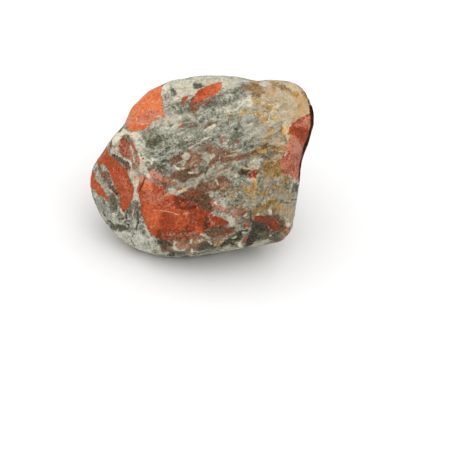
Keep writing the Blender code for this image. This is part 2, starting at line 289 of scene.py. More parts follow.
    "lowLeftA": ("dark", 0.63, [(108, 197), (112, 194), (118, 199), (119, 206), (116, 211), (111, 207)]),
    "lowLeftB": ("dark", 0.75, [
        (124, 201), (130, 203), (137, 203), (140, 212), (137, 218), (130, 217), (125, 210)]),
    "lowLeftC": ("dark", 0.5, [
        (106, 219), (110, 219), (114, 224), (121, 224), (129, 225), (130, 230), (120, 231), (112, 228)]),
    "darkFoot": ("dark", 0.42, [
        (157, 241), (159, 238.5), (168, 241), (171, 243), (172, 246), (166, 246), (162, 248), (159, 246)]),
    "darkLow": ("dark", 0.48, [
        (197, 248), (199, 245), (202, 243), (206, 242.3), (209, 243.8), (211, 246), (216, 246.3), (208, 250),
        (203, 250.7), (199, 249.7)]),
    # painted shade: a dark crescent along the ledge at the foot
    "shadedCrescent": ("dark", 0.16, [
        (219, 245.7), (224, 241), (231, 238), (236, 233), (240, 230.8), (244, 229.8), (247.5, 229.8),
        (247.5, 231.5), (244, 232.5), (242, 235), (241, 239), (238, 242.5), (234, 245.5), (231, 245.5),
        (229, 243.7), (225, 244.2), (222, 246.2)]),
    "rimDarkA": ("dark", 0.46, [
        (168, 254.5), (170, 252), (174, 250.4), (177, 251), (174, 255), (171, 255.7)]),
    "rimDarkB": ("dark", 0.52, [(180, 257.5), (184, 255), (188, 255), (188, 257), (182, 259)]),
    "greenBlock": ("dark", 0.19, [
        (252.5, 219.5), (256, 220.5), (260, 220.3), (269.5, 225), (271, 229), (269, 232.5), (264, 233.5),
        (260, 236), (253, 243), (248, 246), (245, 245), (246, 239), (250.5, 231)]),
    "greenTail": ("dark", 0.5, [
        (258, 233), (262, 231.5), (270, 231), (276, 229.5), (281, 231), (281, 235), (276, 239), (268, 240),
        (260, 240), (256, 241)]),
    "darkGap": ("dark", 0.38, [(198.3, 186), (200, 184.5), (201, 187), (199.5, 188.7)]),
    "darkHollow": ("dark", 0.55, [(146.3, 162), (148, 160.8), (149.3, 163), (147.5, 164.3)]),
    "darkBehindWave": ("dark", 0.49, [(255, 206), (258, 203.8), (262, 204), (260, 206.3), (256.5, 207.7)]),
    "darkUnderPeach": ("dark", 0.6, [(263, 157.5), (266, 155.5), (270, 156.5), (269, 159.5), (265, 159.7)]),
    "darkNotchA": ("dark", 0.42, [
        (243, 145), (245, 141.5), (246.5, 144), (245, 147), (247, 150.5), (244.5, 151), (243.2, 148)]),
    "darkNotchB": ("dark", 0.49, [(218.5, 148), (220, 146), (221.8, 148), (221, 151), (219, 151)]),
    "darkRightA": ("dark", 0.63, [(278, 200), (281, 197.5), (284, 199), (283, 202.5), (280, 202.5)]),
    "darkRightB": ("dark", 0.55, [
        (293, 188), (294, 184), (296, 182.7), (299, 185.5), (298, 190), (294, 191.7)]),
    "greenRight": ("dark", 0.72, [(283, 187), (285, 184), (288.5, 185), (288, 189), (285, 190)]),
    # cream and white
    "creamA": ("pale", 0.8, [(162.5, 88), (165, 85), (169, 84), (170, 90), (167, 91.5), (163, 91)]),
    "creamB": ("pale", 0.6, [(169.5, 95), (178, 97), (179, 100), (176, 101), (172, 98)]),
    "creamC": ("pale", 0.48, [
        (176, 83.5), (183, 82), (192, 82), (193, 89.5), (180, 91.5), (178, 96), (176, 92), (177, 88)]),
    "creamD": ("pale", 0.52, [
        (181, 94.5), (186, 91.5), (192, 90.5), (197.5, 90.5), (195.5, 93), (194.5, 96), (183, 96.3)]),
    "creamE": ("pale", 0.35, [
        (196, 83), (200, 80), (216, 77), (222, 78), (221, 82), (214, 82.4), (208, 85.3), (203, 82.5)]),
    "creamF": ("pale", 0.35, [(222.5, 83), (226, 79.5), (231, 81), (232, 85), (230, 90), (223, 87)]),
    "creamSpur": ("pale", 0.62, [
        (246.5, 99.5), (249.5, 97.2), (252, 100), (253, 104), (251, 108.5), (247, 107), (245.5, 103)]),
    "creamByBrown": ("pale", 0.42, [(258, 84), (263, 82.5), (269, 83), (268, 86.5), (263, 87), (260, 86)]),
    "creamAtSeam": ("pale", 0.4, [(255.5, 214.7), (257.5, 212.5), (259.5, 213), (260, 214.8), (257, 215.7)]),
    "whiteAtSeam": ("pale", 0.6, [
        (268.3, 214), (268.5, 210.5), (270.5, 209.8), (271.7, 212), (271.3, 214.3), (269.5, 215)]),
    "creamTongue": ("pale", 0.6, [(237.5, 241.5), (240, 239.7), (241.7, 243), (241, 247.5), (238.3, 246.5)]),
    "creamFold": ("pale", 0.55, [(242.5, 215.5), (245.5, 212.3), (248.3, 212.5), (246.3, 215), (243.5, 217)]),
    "paleRimLow": ("pale", 0.25, [
        (250, 244), (253, 241.7), (259, 240.3), (267, 239.7), (271, 240.7), (264, 244), (256, 246.3),
        (251, 246.3)]),
    "paleGap": ("pale", 0.6, [
        (133, 181), (137, 182.5), (139, 187), (137.5, 191), (139, 201), (136, 199.5), (133, 201),
        (135.3, 191), (134, 187)]),
    "paleByDot": ("pale", 0.35, [
        (140, 158), (143, 155.5), (146.7, 157.5), (148, 160.7), (145, 163.5), (147, 168), (143.5, 166.5)]),
    "creamAtLobe": ("pale", 0.8, [
        (145, 171.5), (147.5, 170.5), (150, 173.5), (150.5, 178), (147.5, 177.5), (145.5, 174.5)]),
    "creamByHollow": ("pale", 0.7, [(150.3, 162), (151.5, 159.3), (152.7, 162), (152, 166.5), (150.7, 165)]),
    "palePatchMiddle": ("pale", 0.05, [
        (202, 157.3), (206, 155.7), (211, 155), (213.5, 152.7), (215.3, 152), (214, 156), (211, 158.7),
        (205.5, 159.7)]),
    "palePatchLow": ("pale", 0.05, [
        (186, 184), (190, 181.7), (196, 180.7), (199, 182.5), (198, 186.7), (192, 188), (186, 187.5)]),
    "paleStepLow": ("pale", 0.35, [(196, 179.5), (199, 176.8), (203, 174.3), (203.3, 176), (197, 180.7)]),
    "paleUnderPit": ("pale", 0.6, [(247.5, 179.3), (254.5, 179), (254, 180.7), (249, 181)]),
    "paleBesidePit": ("pale", 0.2, [
        (248, 164.5), (252, 161), (259, 160.5), (260, 166), (256, 168.3), (249, 168)]),
    "whiteClast": ("pale", 0.7, [
        (205.5, 129.7), (211.5, 124.5), (214, 123.2), (215.3, 125.5), (214.5, 128), (211, 129.7),
        (207, 130.3)]),
    "whiteDot": ("pale", 0.75, [(171.8, 127), (173, 125.6), (174.6, 127), (173, 128.5)]),
    "whiteGrain": ("pale", 0.45, [
        (183, 154), (185, 151.5), (187.5, 152), (189.5, 155), (189, 158), (187, 159.5), (184.5, 159),
        (183, 156.5)]),
    "greyGrain": ("pale", 0.25, [
        (180.5, 163), (182.5, 161), (185.5, 160.5), (186.5, 162.5), (184, 165), (182, 165)]),
    "creamPatch": ("pale", 0.5, [(268.5, 112.5), (272, 112), (276, 116.8), (273, 117), (270.5, 115.5)]),
    "whiteDotRight": ("pale", 0.6, [(278.3, 118), (280, 116.3), (281.8, 118), (280, 119.6)]),
    "whiteByOlive": ("pale", 0.6, [(268.3, 149), (270, 148.2), (271.3, 149.7), (269.5, 150.8)]),
    "whiteLow": ("pale", 0.6, [
        (227, 216.5), (231, 215.3), (234, 219), (234, 223), (231, 225), (228.7, 222.5)]),
    "whiteStreakLow": ("pale", 0.4, [
        (201, 234.7), (204, 233.3), (207, 235), (209.3, 237.2), (206, 237.2), (203, 236.2)]),
    "creamLow": ("pale", 0.6, [
        (172.3, 245), (174, 243), (175, 240.3), (177.5, 239.8), (175.5, 243.5), (176, 246), (178, 248),
        (181, 248.6), (185, 248), (184.5, 249.2), (179, 250.2), (174.5, 249.7)]),
    "creamDotLow": ("pale", 0.9, [(190, 241.5), (191.5, 240), (193, 241.5), (192, 244), (190.5, 243.5)]),
    "creamRight": ("pale", 0.8, [
        (284.5, 225), (287, 222), (289.5, 221.8), (289.5, 225), (287, 227), (285, 227)]),
    "paleInDark": ("pale", 0.2, [(231.8, 237.5), (234, 236), (236.5, 237), (235, 238.5), (232.8, 238.8)]),
    "creamUnderLens": ("pale", 0.95, [
        (121, 134), (123, 129), (127.5, 130), (131, 133), (136, 133), (140, 134.5), (138, 138), (133, 139),
        (130, 136), (127, 134), (123.5, 135.5), (120.5, 138)]),
    "creamLeft": ("pale", 0.92, [
        (114, 135), (118, 132.5), (121.5, 134), (121, 139), (118.5, 144.5), (114, 146), (112, 142)]),
    "whiteMiddleLeft": ("pale", 0.35, [
        (140, 166), (143, 164.5), (147, 168), (148, 174), (145, 175), (141, 171)]),
    "whiteAboveRed": ("pale", 0.5, [
        (167, 190.5), (168.5, 188), (171.5, 186.8), (174, 188.3), (175.5, 191), (173, 193.3), (169.5, 193)]),
    "whiteAboveRedB": ("pale", 0.6, [
        (176, 191.3), (179.5, 190), (183.5, 190.3), (183, 192.7), (179, 194), (176.5, 193)]),
    "paleFoot": ("pale", 0.15, [(222, 247.5), (225, 245.5), (230, 246), (232, 248), (228, 250), (223, 250)]),
    # yellow and peach
    "yellowCorner": ("yellow", 0.35, [
        (291, 94.5), (293, 92), (296, 92.3), (298.8, 95), (298.5, 96.8), (295, 98), (291.5, 97.5)]),
    "yellowTop": ("yellow", 0.5, [
        (272.5, 117), (275, 116.8), (278, 118.5), (278, 121), (275, 121.5), (273, 119.8)]),
    "yellowRight": ("yellow", 0.5, [(281.5, 125.5), (284, 124.5), (284.5, 128), (282.5, 129.5)]),
    "yellowOlive": ("yellow", 0.3, [(277, 148), (280, 146.5), (284, 147.5), (285, 150), (278, 151)]),
    "peachUnder": ("yellow", 0.45, [
        (259, 151.5), (262, 150.5), (266, 150.5), (267, 152), (262, 154), (259, 154)]),
    "peachByGrain": ("yellow", 0.97, [(181, 188), (184.5, 187.3), (187, 189.5), (186, 191.5), (183, 190.5)]),
    "creamColumn": ("yellow", 0.98, [
        (283, 123), (286, 123), (288.5, 127), (289.8, 131), (289.5, 138), (287, 141), (285, 137)]),
    # red jasper
    "orangeLens": ("red", 0.86, [
        (163, 84), (152, 87), (140, 96), (130, 105), (125, 117), (126, 124), (129, 130), (132, 131.5),
        (137, 131.5), (146, 129.5), (149.5, 126.5), (150, 123), (153, 122.3), (156, 120.5), (161, 116),
        (164, 117.5), (166, 119.5), (165.5, 117), (163.8, 113.5), (163.6, 107), (161.6, 97), (161.4, 94),
        (162.4, 90)]),
    "topStreak": ("red", 0.66, [
        (195.5, 94), (198.5, 89.8), (202, 89), (209, 86), (212, 84), (215, 83), (222, 82.6), (222.3, 85),
        (221.5, 88.5), (220, 91.5), (212, 96.2), (208, 98), (200, 100.5), (197, 102.5), (193.5, 103.2),
        (191.8, 101.5), (195, 97)]),
    "streakSpot": ("red", 0.72, [(194, 106), (196, 105), (198, 106.5), (197.5, 108.5), (195, 108.3)]),
    "redFork": ("red", 0.55, [
        (181.5, 98.3), (184, 96.8), (188.3, 96.8), (188.3, 98.8), (185.8, 99.6), (184.6, 102), (184, 106),
        (182.2, 105.3)]),
    "redLobe": ("red", 0.8, [(140, 176.5), (143.5, 174.7), (144.5, 178), (140.3, 187), (139, 184)]),
    "redSplinter": ("red", 0.62, [
        (180.4, 126.5), (182, 124.3), (183.6, 123.9), (183.2, 125.6), (181.5, 127.6)]),
    "leftBlade": ("red", 0.6, [
        (107.5, 147), (108, 150), (108, 153.5), (113, 158.5), (117, 160.5), (123, 167), (126, 168.5),
        (128, 171), (129.5, 175), (130, 180), (133, 187), (133, 190), (134.5, 192), (133.5, 194), (133, 198),
        (129.5, 206), (124, 212.5), (122, 210), (120, 203), (119.5, 197), (113, 182), (110.5, 174),
        (108, 169), (103, 163.5), (100.5, 165), (98.5, 164.5), (97, 161.5), (98, 158), (103, 155.5),
        (105, 148)]),
    "leftEdgeRed": ("red", 0.64, [
        (92, 168), (88, 176), (88, 182), (90, 187), (94.5, 190), (97, 193.5), (100, 196), (104, 197.5),
        (106, 197.5), (107, 200.5), (109.5, 201.5), (109, 198), (107.5, 195), (106, 194.5), (105.5, 192),
        (103, 189), (101, 185.5), (98, 183), (96, 182), (96, 178), (94, 171)]),
    "redTriangle": ("red", 0.42, [
        (122, 138.5), (121, 143), (119, 147), (119.5, 151), (121.5, 155), (128, 158.5), (131.5, 161),
        (134, 160), (131, 150), (130, 145), (128.5, 141), (127, 138.5)]),
    "redSliver": ("red", 0.66, [(130.2, 141), (132, 140.8), (135.7, 148), (135.9, 151), (134.3, 150.5)]),
    "redSliverLow": ("red", 0.4, [(134.3, 150.5), (135.9, 151), (137.5, 155), (138.6, 160), (137.5, 163)]),
    "pinkAboveRed": ("red", 0.62, [
        (149.5, 171), (152, 169.5), (155.5, 171.5), (158.5, 174.5), (163, 177.5), (173, 182), (171, 184.5),
        (165, 183), (154, 177.5), (150, 175)]),
    "redDotLeft": ("red", 0.5, [(110.3, 145), (112, 144), (112.6, 147), (111.5, 149.5), (110.4, 148)]),
    "redDotMiddle": ("red", 0.6, [(142, 159), (143.5, 157.4), (145, 159), (143.5, 160.6)]),
    "bigRed": ("red", 0.6, [
        (142.5, 175), (140.5, 178), (138, 188.5), (138, 192), (140, 200), (140.5, 207), (142, 213),
        (146, 224), (150, 231.5), (153, 235), (156, 237.5), (159, 238.5), (163, 239), (173, 238.5),
        (177, 239.5), (181, 238), (190, 236), (194, 234), (203, 233), (207, 228.5), (211, 228), (214, 226),
        (223, 225), (227, 224), (229.7, 221.6), (226, 220), (222, 217.5), (214, 215), (211, 213), (203, 209),
        (199, 206), (195, 204), (186, 198.5), (181, 197), (172, 193), (168, 193), (162, 187.5), (152, 181.5),
        (146, 176.5)]),
    "rightRed": ("red", 0.52, [
        (310, 113.5), (306, 115), (298, 119), (294, 121.5), (290.5, 124.5), (288.5, 130), (288, 133),
        (289, 136), (288.5, 139), (286, 147), (286, 151), (282.5, 157), (282, 160), (280, 163),
        (280.5, 165.5), (283.5, 172), (286, 174), (289.5, 175), (291, 177.5), (297, 180.5), (302, 181),
        (304, 172), (308, 160), (313, 150), (318, 135), (320, 122), (316, 113)]),
    "redCrescent": ("red", 0.29, [
        (253.5, 218.5), (255, 216.3), (259, 215.2), (269, 216), (273, 218), (276.5, 221), (278.7, 224.5),
        (279, 228.5), (277, 230.5), (274.5, 230.8), (271.5, 229), (268.5, 226.3), (265, 224), (261, 222.5),
        (256, 222), (254, 221)]),
    "redHook": ("red", 0.5, [
        (247, 222), (248.5, 220.5), (249.5, 222.5), (249, 225.5), (248, 227), (245, 226.7), (245.8, 225),
        (247.3, 224.5)]),
    "redTongue": ("red", 0.5, [
        (242.5, 239.5), (244.5, 237), (247.5, 235.5), (248, 237.5), (246, 240), (244.5, 243), (242.5, 242)]),
    "redLowStreak": ("red", 0.36, [
        (224, 234), (227, 230.5), (231, 228), (234.5, 227), (233.5, 230), (227, 235), (224.5, 236)]),
    "redDash": ("red", 0.3, [(289, 199.3), (292, 198.6), (297, 199), (296, 200.4), (290, 200.4)]),
    "redLowA": ("red", 0.6, [(231.5, 213), (234, 212.5), (237.5, 215.5), (237, 217.5), (234, 216)]),
    "redLowB": ("red", 0.42, [(241, 211.5), (244, 210), (247, 211), (245, 213), (242, 213.8)]),
    "redInBlock": ("red", 0.32, [(265.5, 232.5), (268, 231), (269.3, 232.3), (266.5, 233.7)]),
    "redByRim": ("red", 0.5, [(283.3, 227.3), (285.5, 226.3), (287.3, 227), (286, 229), (284, 229.2)]),
    "redPit": ("red", 0.38, [
        (249, 171), (255, 169.5), (258, 171.5), (258, 174.5), (256, 177), (253.5, 178.5), (250, 179),
        (248.5, 176)]),
    "redAboveBig": ("red", 0.58, [(175.5, 188), (179, 186.7), (182, 188), (182.5, 190), (178, 190)]),
    "redTipA": ("red", 0.36, [(191, 191), (194, 189.7), (197.5, 192), (197, 196), (193, 195)]),
    "rind": ("red", 0.06, [
        (308.7, 103.5), (312, 106), (317, 114), (320, 122), (315, 140), (311, 150), (308, 156), (306, 162),
        (304, 181), (298, 182), (297.6, 178), (298.5, 166), (299.5, 161), (301.3, 156), (303.4, 145),
        (305.4, 141), (307.5, 135), (310, 124), (309.2, 113.5), (309.3, 109)]),
    # pale pink
    "paleSmear": ("hair", 0.75, [(222.5, 142.3), (226, 142), (227.6, 144), (224.5, 145)]),
}

# Small grains: what they are, tone, radius, and where each one sits.
grains = {
    "creamGrains": ("pale", 0.7, 0.9, [
        (208.7, 171.3), (163.5, 164), (126.3, 226.5), (117.5, 214.3), (114.3, 213.2), (216.5, 97.5),
        (204.8, 100.5), (270.5, 235.8), (243.7, 233), (298, 183.5), (290, 126), (217.3, 81.5), (240.8, 150.5),
        (268.7, 210.5), (134.3, 235.5), (137, 238.5)]),
    "whiteGrains": ("pale", 0.4, 1.2, [
        (142.7, 171.5), (136.7, 136.5), (132.3, 135.3), (174, 190), (180, 191.7), (185, 190), (224, 205.5),
        (216, 202), (189.7, 137)]),
    "orangeGrains": ("red", 0.8, 1, [
        (215, 162), (287, 166.3), (213.3, 223.3), (222.7, 223.5), (135.5, 177), (151, 194.5)]),
    "redGrains": ("red", 0.4, 0.8, [
        (227, 152.3), (222, 153), (237.5, 214), (196.7, 108.3), (245, 218), (178.5, 203.7), (206, 214)]),
    "rustSpecks": ("iron", 0.6, 1.2, [
        (211, 122), (240.3, 246.2), (257, 208.8), (100.5, 168.5), (109.5, 178), (231, 194.3), (177, 241),
        (186.5, 241.5), (203, 143)]),
    "rustGrains": ("iron", 0.45, 1.3, [
        (213.5, 142.5), (219, 138), (234, 141.5), (238.5, 141), (241, 159), (232, 186), (237.5, 190),
        (231.7, 197), (236, 208), (213, 199), (218.5, 209.5), (252.3, 138.5), (101.5, 171), (106.5, 171.5),
        (99.3, 165)]),
    "ochreGrains": ("ochre", 0.45, 1.2, [
        (231, 115.7), (253.5, 113), (250, 112), (262.5, 118.5), (258.5, 117), (256.5, 190.5), (266, 191.5),
        (262, 196), (270.5, 198), (249, 206.5), (196, 247), (189, 252), (246, 198), (240, 197)]),
    "darkGrains": ("dark", 0.55, 1.2, [
        (171.3, 125.8), (239.3, 124), (241.3, 126.3), (236.5, 129.5), (231, 138), (252, 147), (239.5, 148.5),
        (217.5, 116), (222.5, 112.7), (226, 103.5), (213.5, 109.5), (246, 187), (240.5, 186.3), (235, 200.7),
        (233.5, 168.5), (257, 196.7), (262.5, 190.3), (255.5, 184.5), (268, 205.7), (145, 137.5),
        (143.5, 232), (126, 222.7), (134, 234.5), (200.5, 121.3), (167, 171), (163.5, 174.3), (155.5, 168.3),
        (245, 245.5), (232.7, 241.7)]),
}

# Softer changes inside the marks and in the grey: what changes and to what, how softly, and where. Two of the
# grey ones are painted shade.
tints = {
    "lensHeart": ({"red": 0.78}, 2, [(151, 93), (154, 91), (159, 92), (160, 96), (156, 97), (152, 96)]),
    "lensLobe": ({"red": 0.76}, 1.5, [
        (134, 126), (140, 124.5), (150, 124), (149, 128), (141, 131), (132, 131.5)]),
    "lensOval": ({"red": 0.74}, 1.2, [
        (136, 121.5), (135.5, 119), (137, 117), (150, 109.5), (156, 109), (159, 111), (160, 115),
        (157, 120.5), (153, 122), (148, 122.5), (144, 124), (139, 123)]),
    "lensOvalMilk": ({"milk": 0.75}, 1.5, [
        (136, 121.5), (135.5, 119), (137, 117), (150, 109.5), (156, 109), (159, 111), (160, 115),
        (157, 120.5), (153, 122), (148, 122.5), (144, 124), (139, 123)]),
    "lensSideMilk": ({"milk": 0.5}, 2, [(159, 99), (164, 100), (165, 113), (160, 112)]),
    "lobeMilk": ({"milk": 0.8}, 2, [(138, 173), (152, 173), (156, 184), (148, 185), (139, 181)]),
    "triangleMilk": ({"milk": 0.5}, 2, [(121, 139), (128, 139), (134, 156), (132, 162), (119, 151)]),
    "streakDark": ({"red": 0.52}, 2, [(197, 90), (203, 89), (204, 94), (199, 97), (196, 96)]),
    "streakLight": ({"red": 0.76}, 1.5, [(216, 83), (223, 82), (222, 90), (217, 91)]),
    "bladeMilk": ({"milk": 0.35}, 2, [
        (112, 160), (120, 166), (128, 178), (131, 196), (124, 205), (112, 172)]),
    "bigLeft": ({"red": 0.72}, 4, [
        (145, 200), (152, 198), (159, 205), (161, 214), (158, 226), (150, 229), (144, 214)]),
    "bigUpper": ({"red": 0.6}, 3, [(141, 180), (147, 179), (170, 194), (168, 203), (155, 203), (142, 200)]),
    "bigUpperMilk": ({"milk": 0.5}, 3, [
        (141, 184), (160, 190), (170, 196), (172, 208), (155, 206), (142, 200)]),
    "bigHeart": ({"red": 0.5}, 3, [(161, 214), (172, 213), (178, 218), (175, 227), (165, 229), (159, 224)]),
    "bigRight": ({"red": 0.45}, 4, [
        (176, 196), (190, 200), (206, 211), (210, 222), (203, 231), (190, 234), (182, 226), (176, 208)]),
    "bigDark": ({"red": 0.24}, 3, [(174, 196), (184, 197), (192, 203), (191, 209), (182, 209), (176, 206)]),
    "bigFootDark": ({"red": 0.34}, 2, [(156, 231), (161, 228), (164, 233), (162, 240), (157, 238)]),
    "bigFoot": ({"red": 0.42}, 3, [(165, 229), (176, 230), (190, 228), (190, 237), (170, 240), (164, 238)]),
    "bigFootMilk": ({"milk": 0.4}, 3, [
        (165, 230), (176, 231), (198, 227), (200, 234), (180, 238), (166, 238)]),
    "bigTip": ({"red": 0.45}, 2, [(210, 213), (222, 217), (230, 222), (222, 225), (212, 224)]),
    "bigTipMilk": ({"milk": 0.6}, 1.5, [(208, 221), (213, 220), (216, 224), (211, 226)]),
    "rightTop": ({"red": 0.5}, 3, [(292, 124), (302, 116), (311, 114), (312, 127), (300, 128)]),
    "rightTopMilk": ({"milk": 0.65}, 3, [(292, 126), (300, 118), (313, 112), (314, 129)]),
    "lineMilk": ({"milk": 0.6}, 2, [(208, 199), (240, 214), (238, 219), (210, 204)]),
    "sliverMilk": ({"milk": 0.7}, 2, [(132, 155), (140, 156), (140, 172), (134, 170)]),
    "rightHeart": ({"red": 0.36}, 2.5, [
        (293, 127.5), (298, 127), (309, 133), (309, 141), (304, 142), (296, 133)]),
    "rightHot": ({"red": 0.5}, 1.5, [(302, 133), (305, 131), (307, 136), (304, 139)]),
    "rightPaleMilk": ({"milk": 0.75}, 4, [(282, 130), (293, 134), (304, 145), (299, 154), (280, 156)]),
    "rightLow": ({"red": 0.5}, 3, [(282, 156), (300, 155), (298, 170), (284, 171)]),
    "rightLowMilk": ({"milk": 0.5}, 3, [(274, 154), (300, 153), (298, 182), (288, 184), (276, 174)]),
    "rightFoot": ({"red": 0.62}, 2, [(289, 172), (298, 172), (299, 181), (291, 178)]),
    "crescentLeft": ({"red": 0.4}, 1.5, [(253, 217), (261, 215), (261, 221), (254, 221)]),
    "crescentRight": ({"red": 0.42}, 1.5, [(271, 221), (277, 221), (280, 229), (275, 230)]),
    "redLowMilk": ({"milk": 0.8}, 1, [(230, 211), (236, 211), (239, 217), (234, 218)]),
    "redPitMilk": ({"milk": 0.3}, 1.5, [(249, 169), (259, 169), (259, 178), (250, 180)]),
    "underArc": ({"red": 0.2}, 1.2, [(188, 209), (190, 206), (195, 205.5), (199, 206), (196, 208.5)]),
    "overArc": ({"red": 0.5}, 1.2, [(179, 204.5), (182, 201.5), (186, 203), (185, 207), (181, 207)]),
    "darkTongue": ({"red": 0.1}, 1.5, [
        (177.5, 209), (182, 207), (186, 209), (187, 211.5), (183, 213.3), (179.5, 212)]),
    "darkBeforeTip": ({"red": 0.2}, 1.2, [(206, 214), (209, 217), (210.5, 222), (209.5, 226), (207.5, 222)]),
    "bladeTop": ({"red": 0.54}, 3, [(103, 155), (112, 156), (128, 172), (118, 172), (106, 164)]),
    "mottleUpper": ({"mottle": 1.1}, 3, [
        (147, 174), (162, 179), (178, 188), (182, 198), (174, 210), (154, 208), (146, 198)]),
    "mottleRight": ({"mottle": 0.9}, 4, [
        (172, 190), (188, 194), (206, 204), (212, 212), (212, 222), (206, 236), (190, 242), (164, 242),
        (166, 230), (176, 212)]),
    "mottleRim": ({"mottle": 1.1}, 3, [
        (282, 132), (296, 138), (304, 150), (301, 184), (286, 182), (276, 168)]),
    "mottlePeak": ({"mottle": 0.8}, 2, [(119, 138), (128, 138), (134, 158), (132, 162), (118, 152)]),
    "mottleSliver": ({"mottle": 1.3}, 2, [(132, 152), (139, 150), (141, 172), (133, 172)]),
    "mottleLine": ({"mottle": 1.8}, 2, [
        (206, 198), (214, 200), (242, 212), (242, 222), (228, 214), (206, 206)]),
    "mottleIron": ({"mottle": 1.6}, 3, [
        (200, 180), (230, 177), (233, 190), (214, 194), (198, 200), (186, 198), (186, 188), (200, 186)]),
    "mottlePit": ({"mottle": 0.9}, 2, [(247, 167), (261, 167), (261, 181), (247, 181)]),
    "mottleFoot": ({"mottle": 1.2}, 2, [(222, 226), (236, 225), (236, 236), (222, 238)]),
    "mottleFold": ({"mottle": 1}, 2, [(236, 208), (252, 208), (252, 228), (244, 228), (238, 220)]),
    "mottleLens": ({"mottle": 0.3}, 3, [(134, 118), (156, 108), (162, 116), (150, 128), (134, 132)]),
    "bandPale": ({"grey": 0.5}, 3, [
        (163, 88), (170, 82), (203, 76), (217, 75), (240, 77), (250, 81), (246, 86), (236, 87), (224, 95),
        (222, 83), (214, 83), (198, 90), (195, 96), (186, 97), (178, 101), (170, 98), (163, 97)]),
    "oliveBand": ({"grey": -0.3}, 4, [(204, 99), (222, 92), (236, 90), (248, 92), (246, 98), (212, 107)]),
    "lineBand": ({"grey": 0.25}, 3, [
        (214, 106), (226, 104), (240, 99), (246, 102), (236, 108), (222, 113), (214, 112)]),
    "forkBand": ({"grey": -0.2}, 3, [
        (169, 104), (176, 100), (181, 100), (190, 105), (190, 113), (178, 114), (170, 110)]),
    "warmLeft": ({"warm": 0.8}, 4, [(160, 112), (176, 114), (186, 120), (178, 130), (150, 126), (152, 120)]),
    "paleLeft": ({"grey": 0.12}, 4, [(93, 162), (101, 160), (108, 170), (106, 188), (97, 190)]),
    "greyFootLeft": ({"grey": 0.75}, 5, [
        (118, 234), (140, 232), (150, 240), (160, 252), (150, 256), (130, 248), (118, 240)]),
    "paleLowLeft": ({"grey": 0.08}, 3, [
        (93, 192), (101, 198), (108, 200), (108, 212), (104, 214), (98, 206)]),
    "duskLowLeft": ({"grey": -0.1}, 5, [
        (100, 196), (120, 196), (140, 202), (142, 222), (132, 232), (112, 226), (102, 212)]),
    "footRim": ({"grey": 0.06}, 4, [(150, 249), (190, 251), (262, 240), (264, 246), (190, 259), (152, 257)]),
    "rightGrey": ({"grey": 0.28}, 4, [
        (240, 112), (262, 118), (268, 130), (262, 137), (246, 134), (240, 124)]),
    "lowGrey": ({"grey": 0.15}, 4, [(210, 192), (246, 196), (250, 206), (232, 212), (214, 206)]),
    "darkStreakMid": ({"grey": -0.3}, 3, [(228, 128), (238, 122), (244, 130), (238, 142), (228, 144)]),
    "rustCentre": ({"rust": 0.42}, 5, [
        (166, 150), (186, 146), (204, 138), (236, 138), (258, 142), (258, 160), (236, 166), (232, 190),
        (208, 212), (168, 186), (152, 172)]),
    "rustUpper": ({"rust": 0.3}, 4, [(176, 118), (204, 116), (232, 118), (240, 140), (200, 140), (176, 134)]),
    "rustAboveRed": ({"rust": 0.6}, 4, [
        (146, 168), (172, 172), (200, 186), (206, 206), (184, 200), (148, 180)]),
    "rustFoot": ({"rust": 0.6}, 3, [
        (162, 236), (200, 232), (236, 224), (240, 236), (222, 246), (192, 250), (162, 250)]),
    "rustLow": ({"rust": 0.42}, 4, [(224, 204), (250, 206), (252, 230), (236, 228), (224, 214)]),
    "rustLeft": ({"rust": 0.4}, 3, [(98, 166), (108, 168), (116, 184), (118, 198), (108, 190), (100, 180)]),
    "rustShreds": ({"rust": 0.6}, 3, [
        (114, 134), (128, 134), (140, 150), (142, 172), (132, 170), (120, 158), (112, 146)]),
    "goldRight": ({"gold": 0.42}, 6, [
        (240, 96), (262, 98), (300, 92), (308, 108), (290, 122), (282, 180), (288, 208), (262, 212),
        (240, 208), (250, 190), (262, 160), (252, 140), (262, 122), (240, 114)]),
    "goldFold": ({"gold": 0.6}, 3, [
        (236, 204), (262, 203), (278, 204), (282, 212), (256, 214), (250, 216), (236, 214)]),
    "rustFold": ({"rust": 0.6}, 3, [(226, 206), (250, 206), (252, 218), (246, 228), (234, 226), (226, 214)]),
    "goldUpper": ({"gold": 0.2}, 4, [(224, 112), (248, 106), (256, 124), (240, 134), (222, 124)]),
    "goldFoot": ({"gold": 0.45}, 3, [
        (188, 236), (240, 222), (244, 210), (284, 200), (286, 210), (250, 218), (236, 240), (200, 248)]),
    "duskLowRight": ({"grey": -0.26}, 6, [
        (228, 176), (262, 158), (284, 160), (290, 196), (268, 210), (240, 212), (226, 196)]),
    "duskCentre": ({"grey": -0.12}, 6, [
        (164, 146), (220, 138), (262, 140), (262, 160), (230, 166), (200, 190), (164, 180)]),
    # painted shade: the lower band, which turns down towards the floor, is darker
    "shadedFoot": ({"grey": -0.28}, 4, [
        (160, 240), (240, 228), (262, 236), (286, 232), (284, 242), (180, 256)]),
    "mottleAbove": ({"mottle": 1.6, "milk": 0.7}, 2, [
        (148, 168), (158, 168), (176, 180), (176, 187), (160, 184), (148, 177)]),
    "mottleMist": ({"mottle": 1.5}, 1, [
        (189, 104), (200, 102), (210, 99), (219, 95), (220, 98), (206, 106), (192, 110)]),
    "mottleLowRed": ({"mottle": 1.5}, 2, [
        (160, 232), (176, 233), (188, 230), (196, 232), (208, 228), (210, 234), (190, 244), (162, 242)]),
    "lowRedTone": ({"red": 0.34}, 3, [(176, 226), (188, 226), (196, 230), (196, 238), (178, 240)]),
    "lowRedHot": ({"red": 0.66}, 2, [(194, 224), (206, 230), (202, 233.5), (196, 232)]),
    "tipTone": ({"red": 0.45}, 1.5, [(211, 214.5), (218, 216.3), (229.5, 221.7), (224, 224), (214, 223)]),
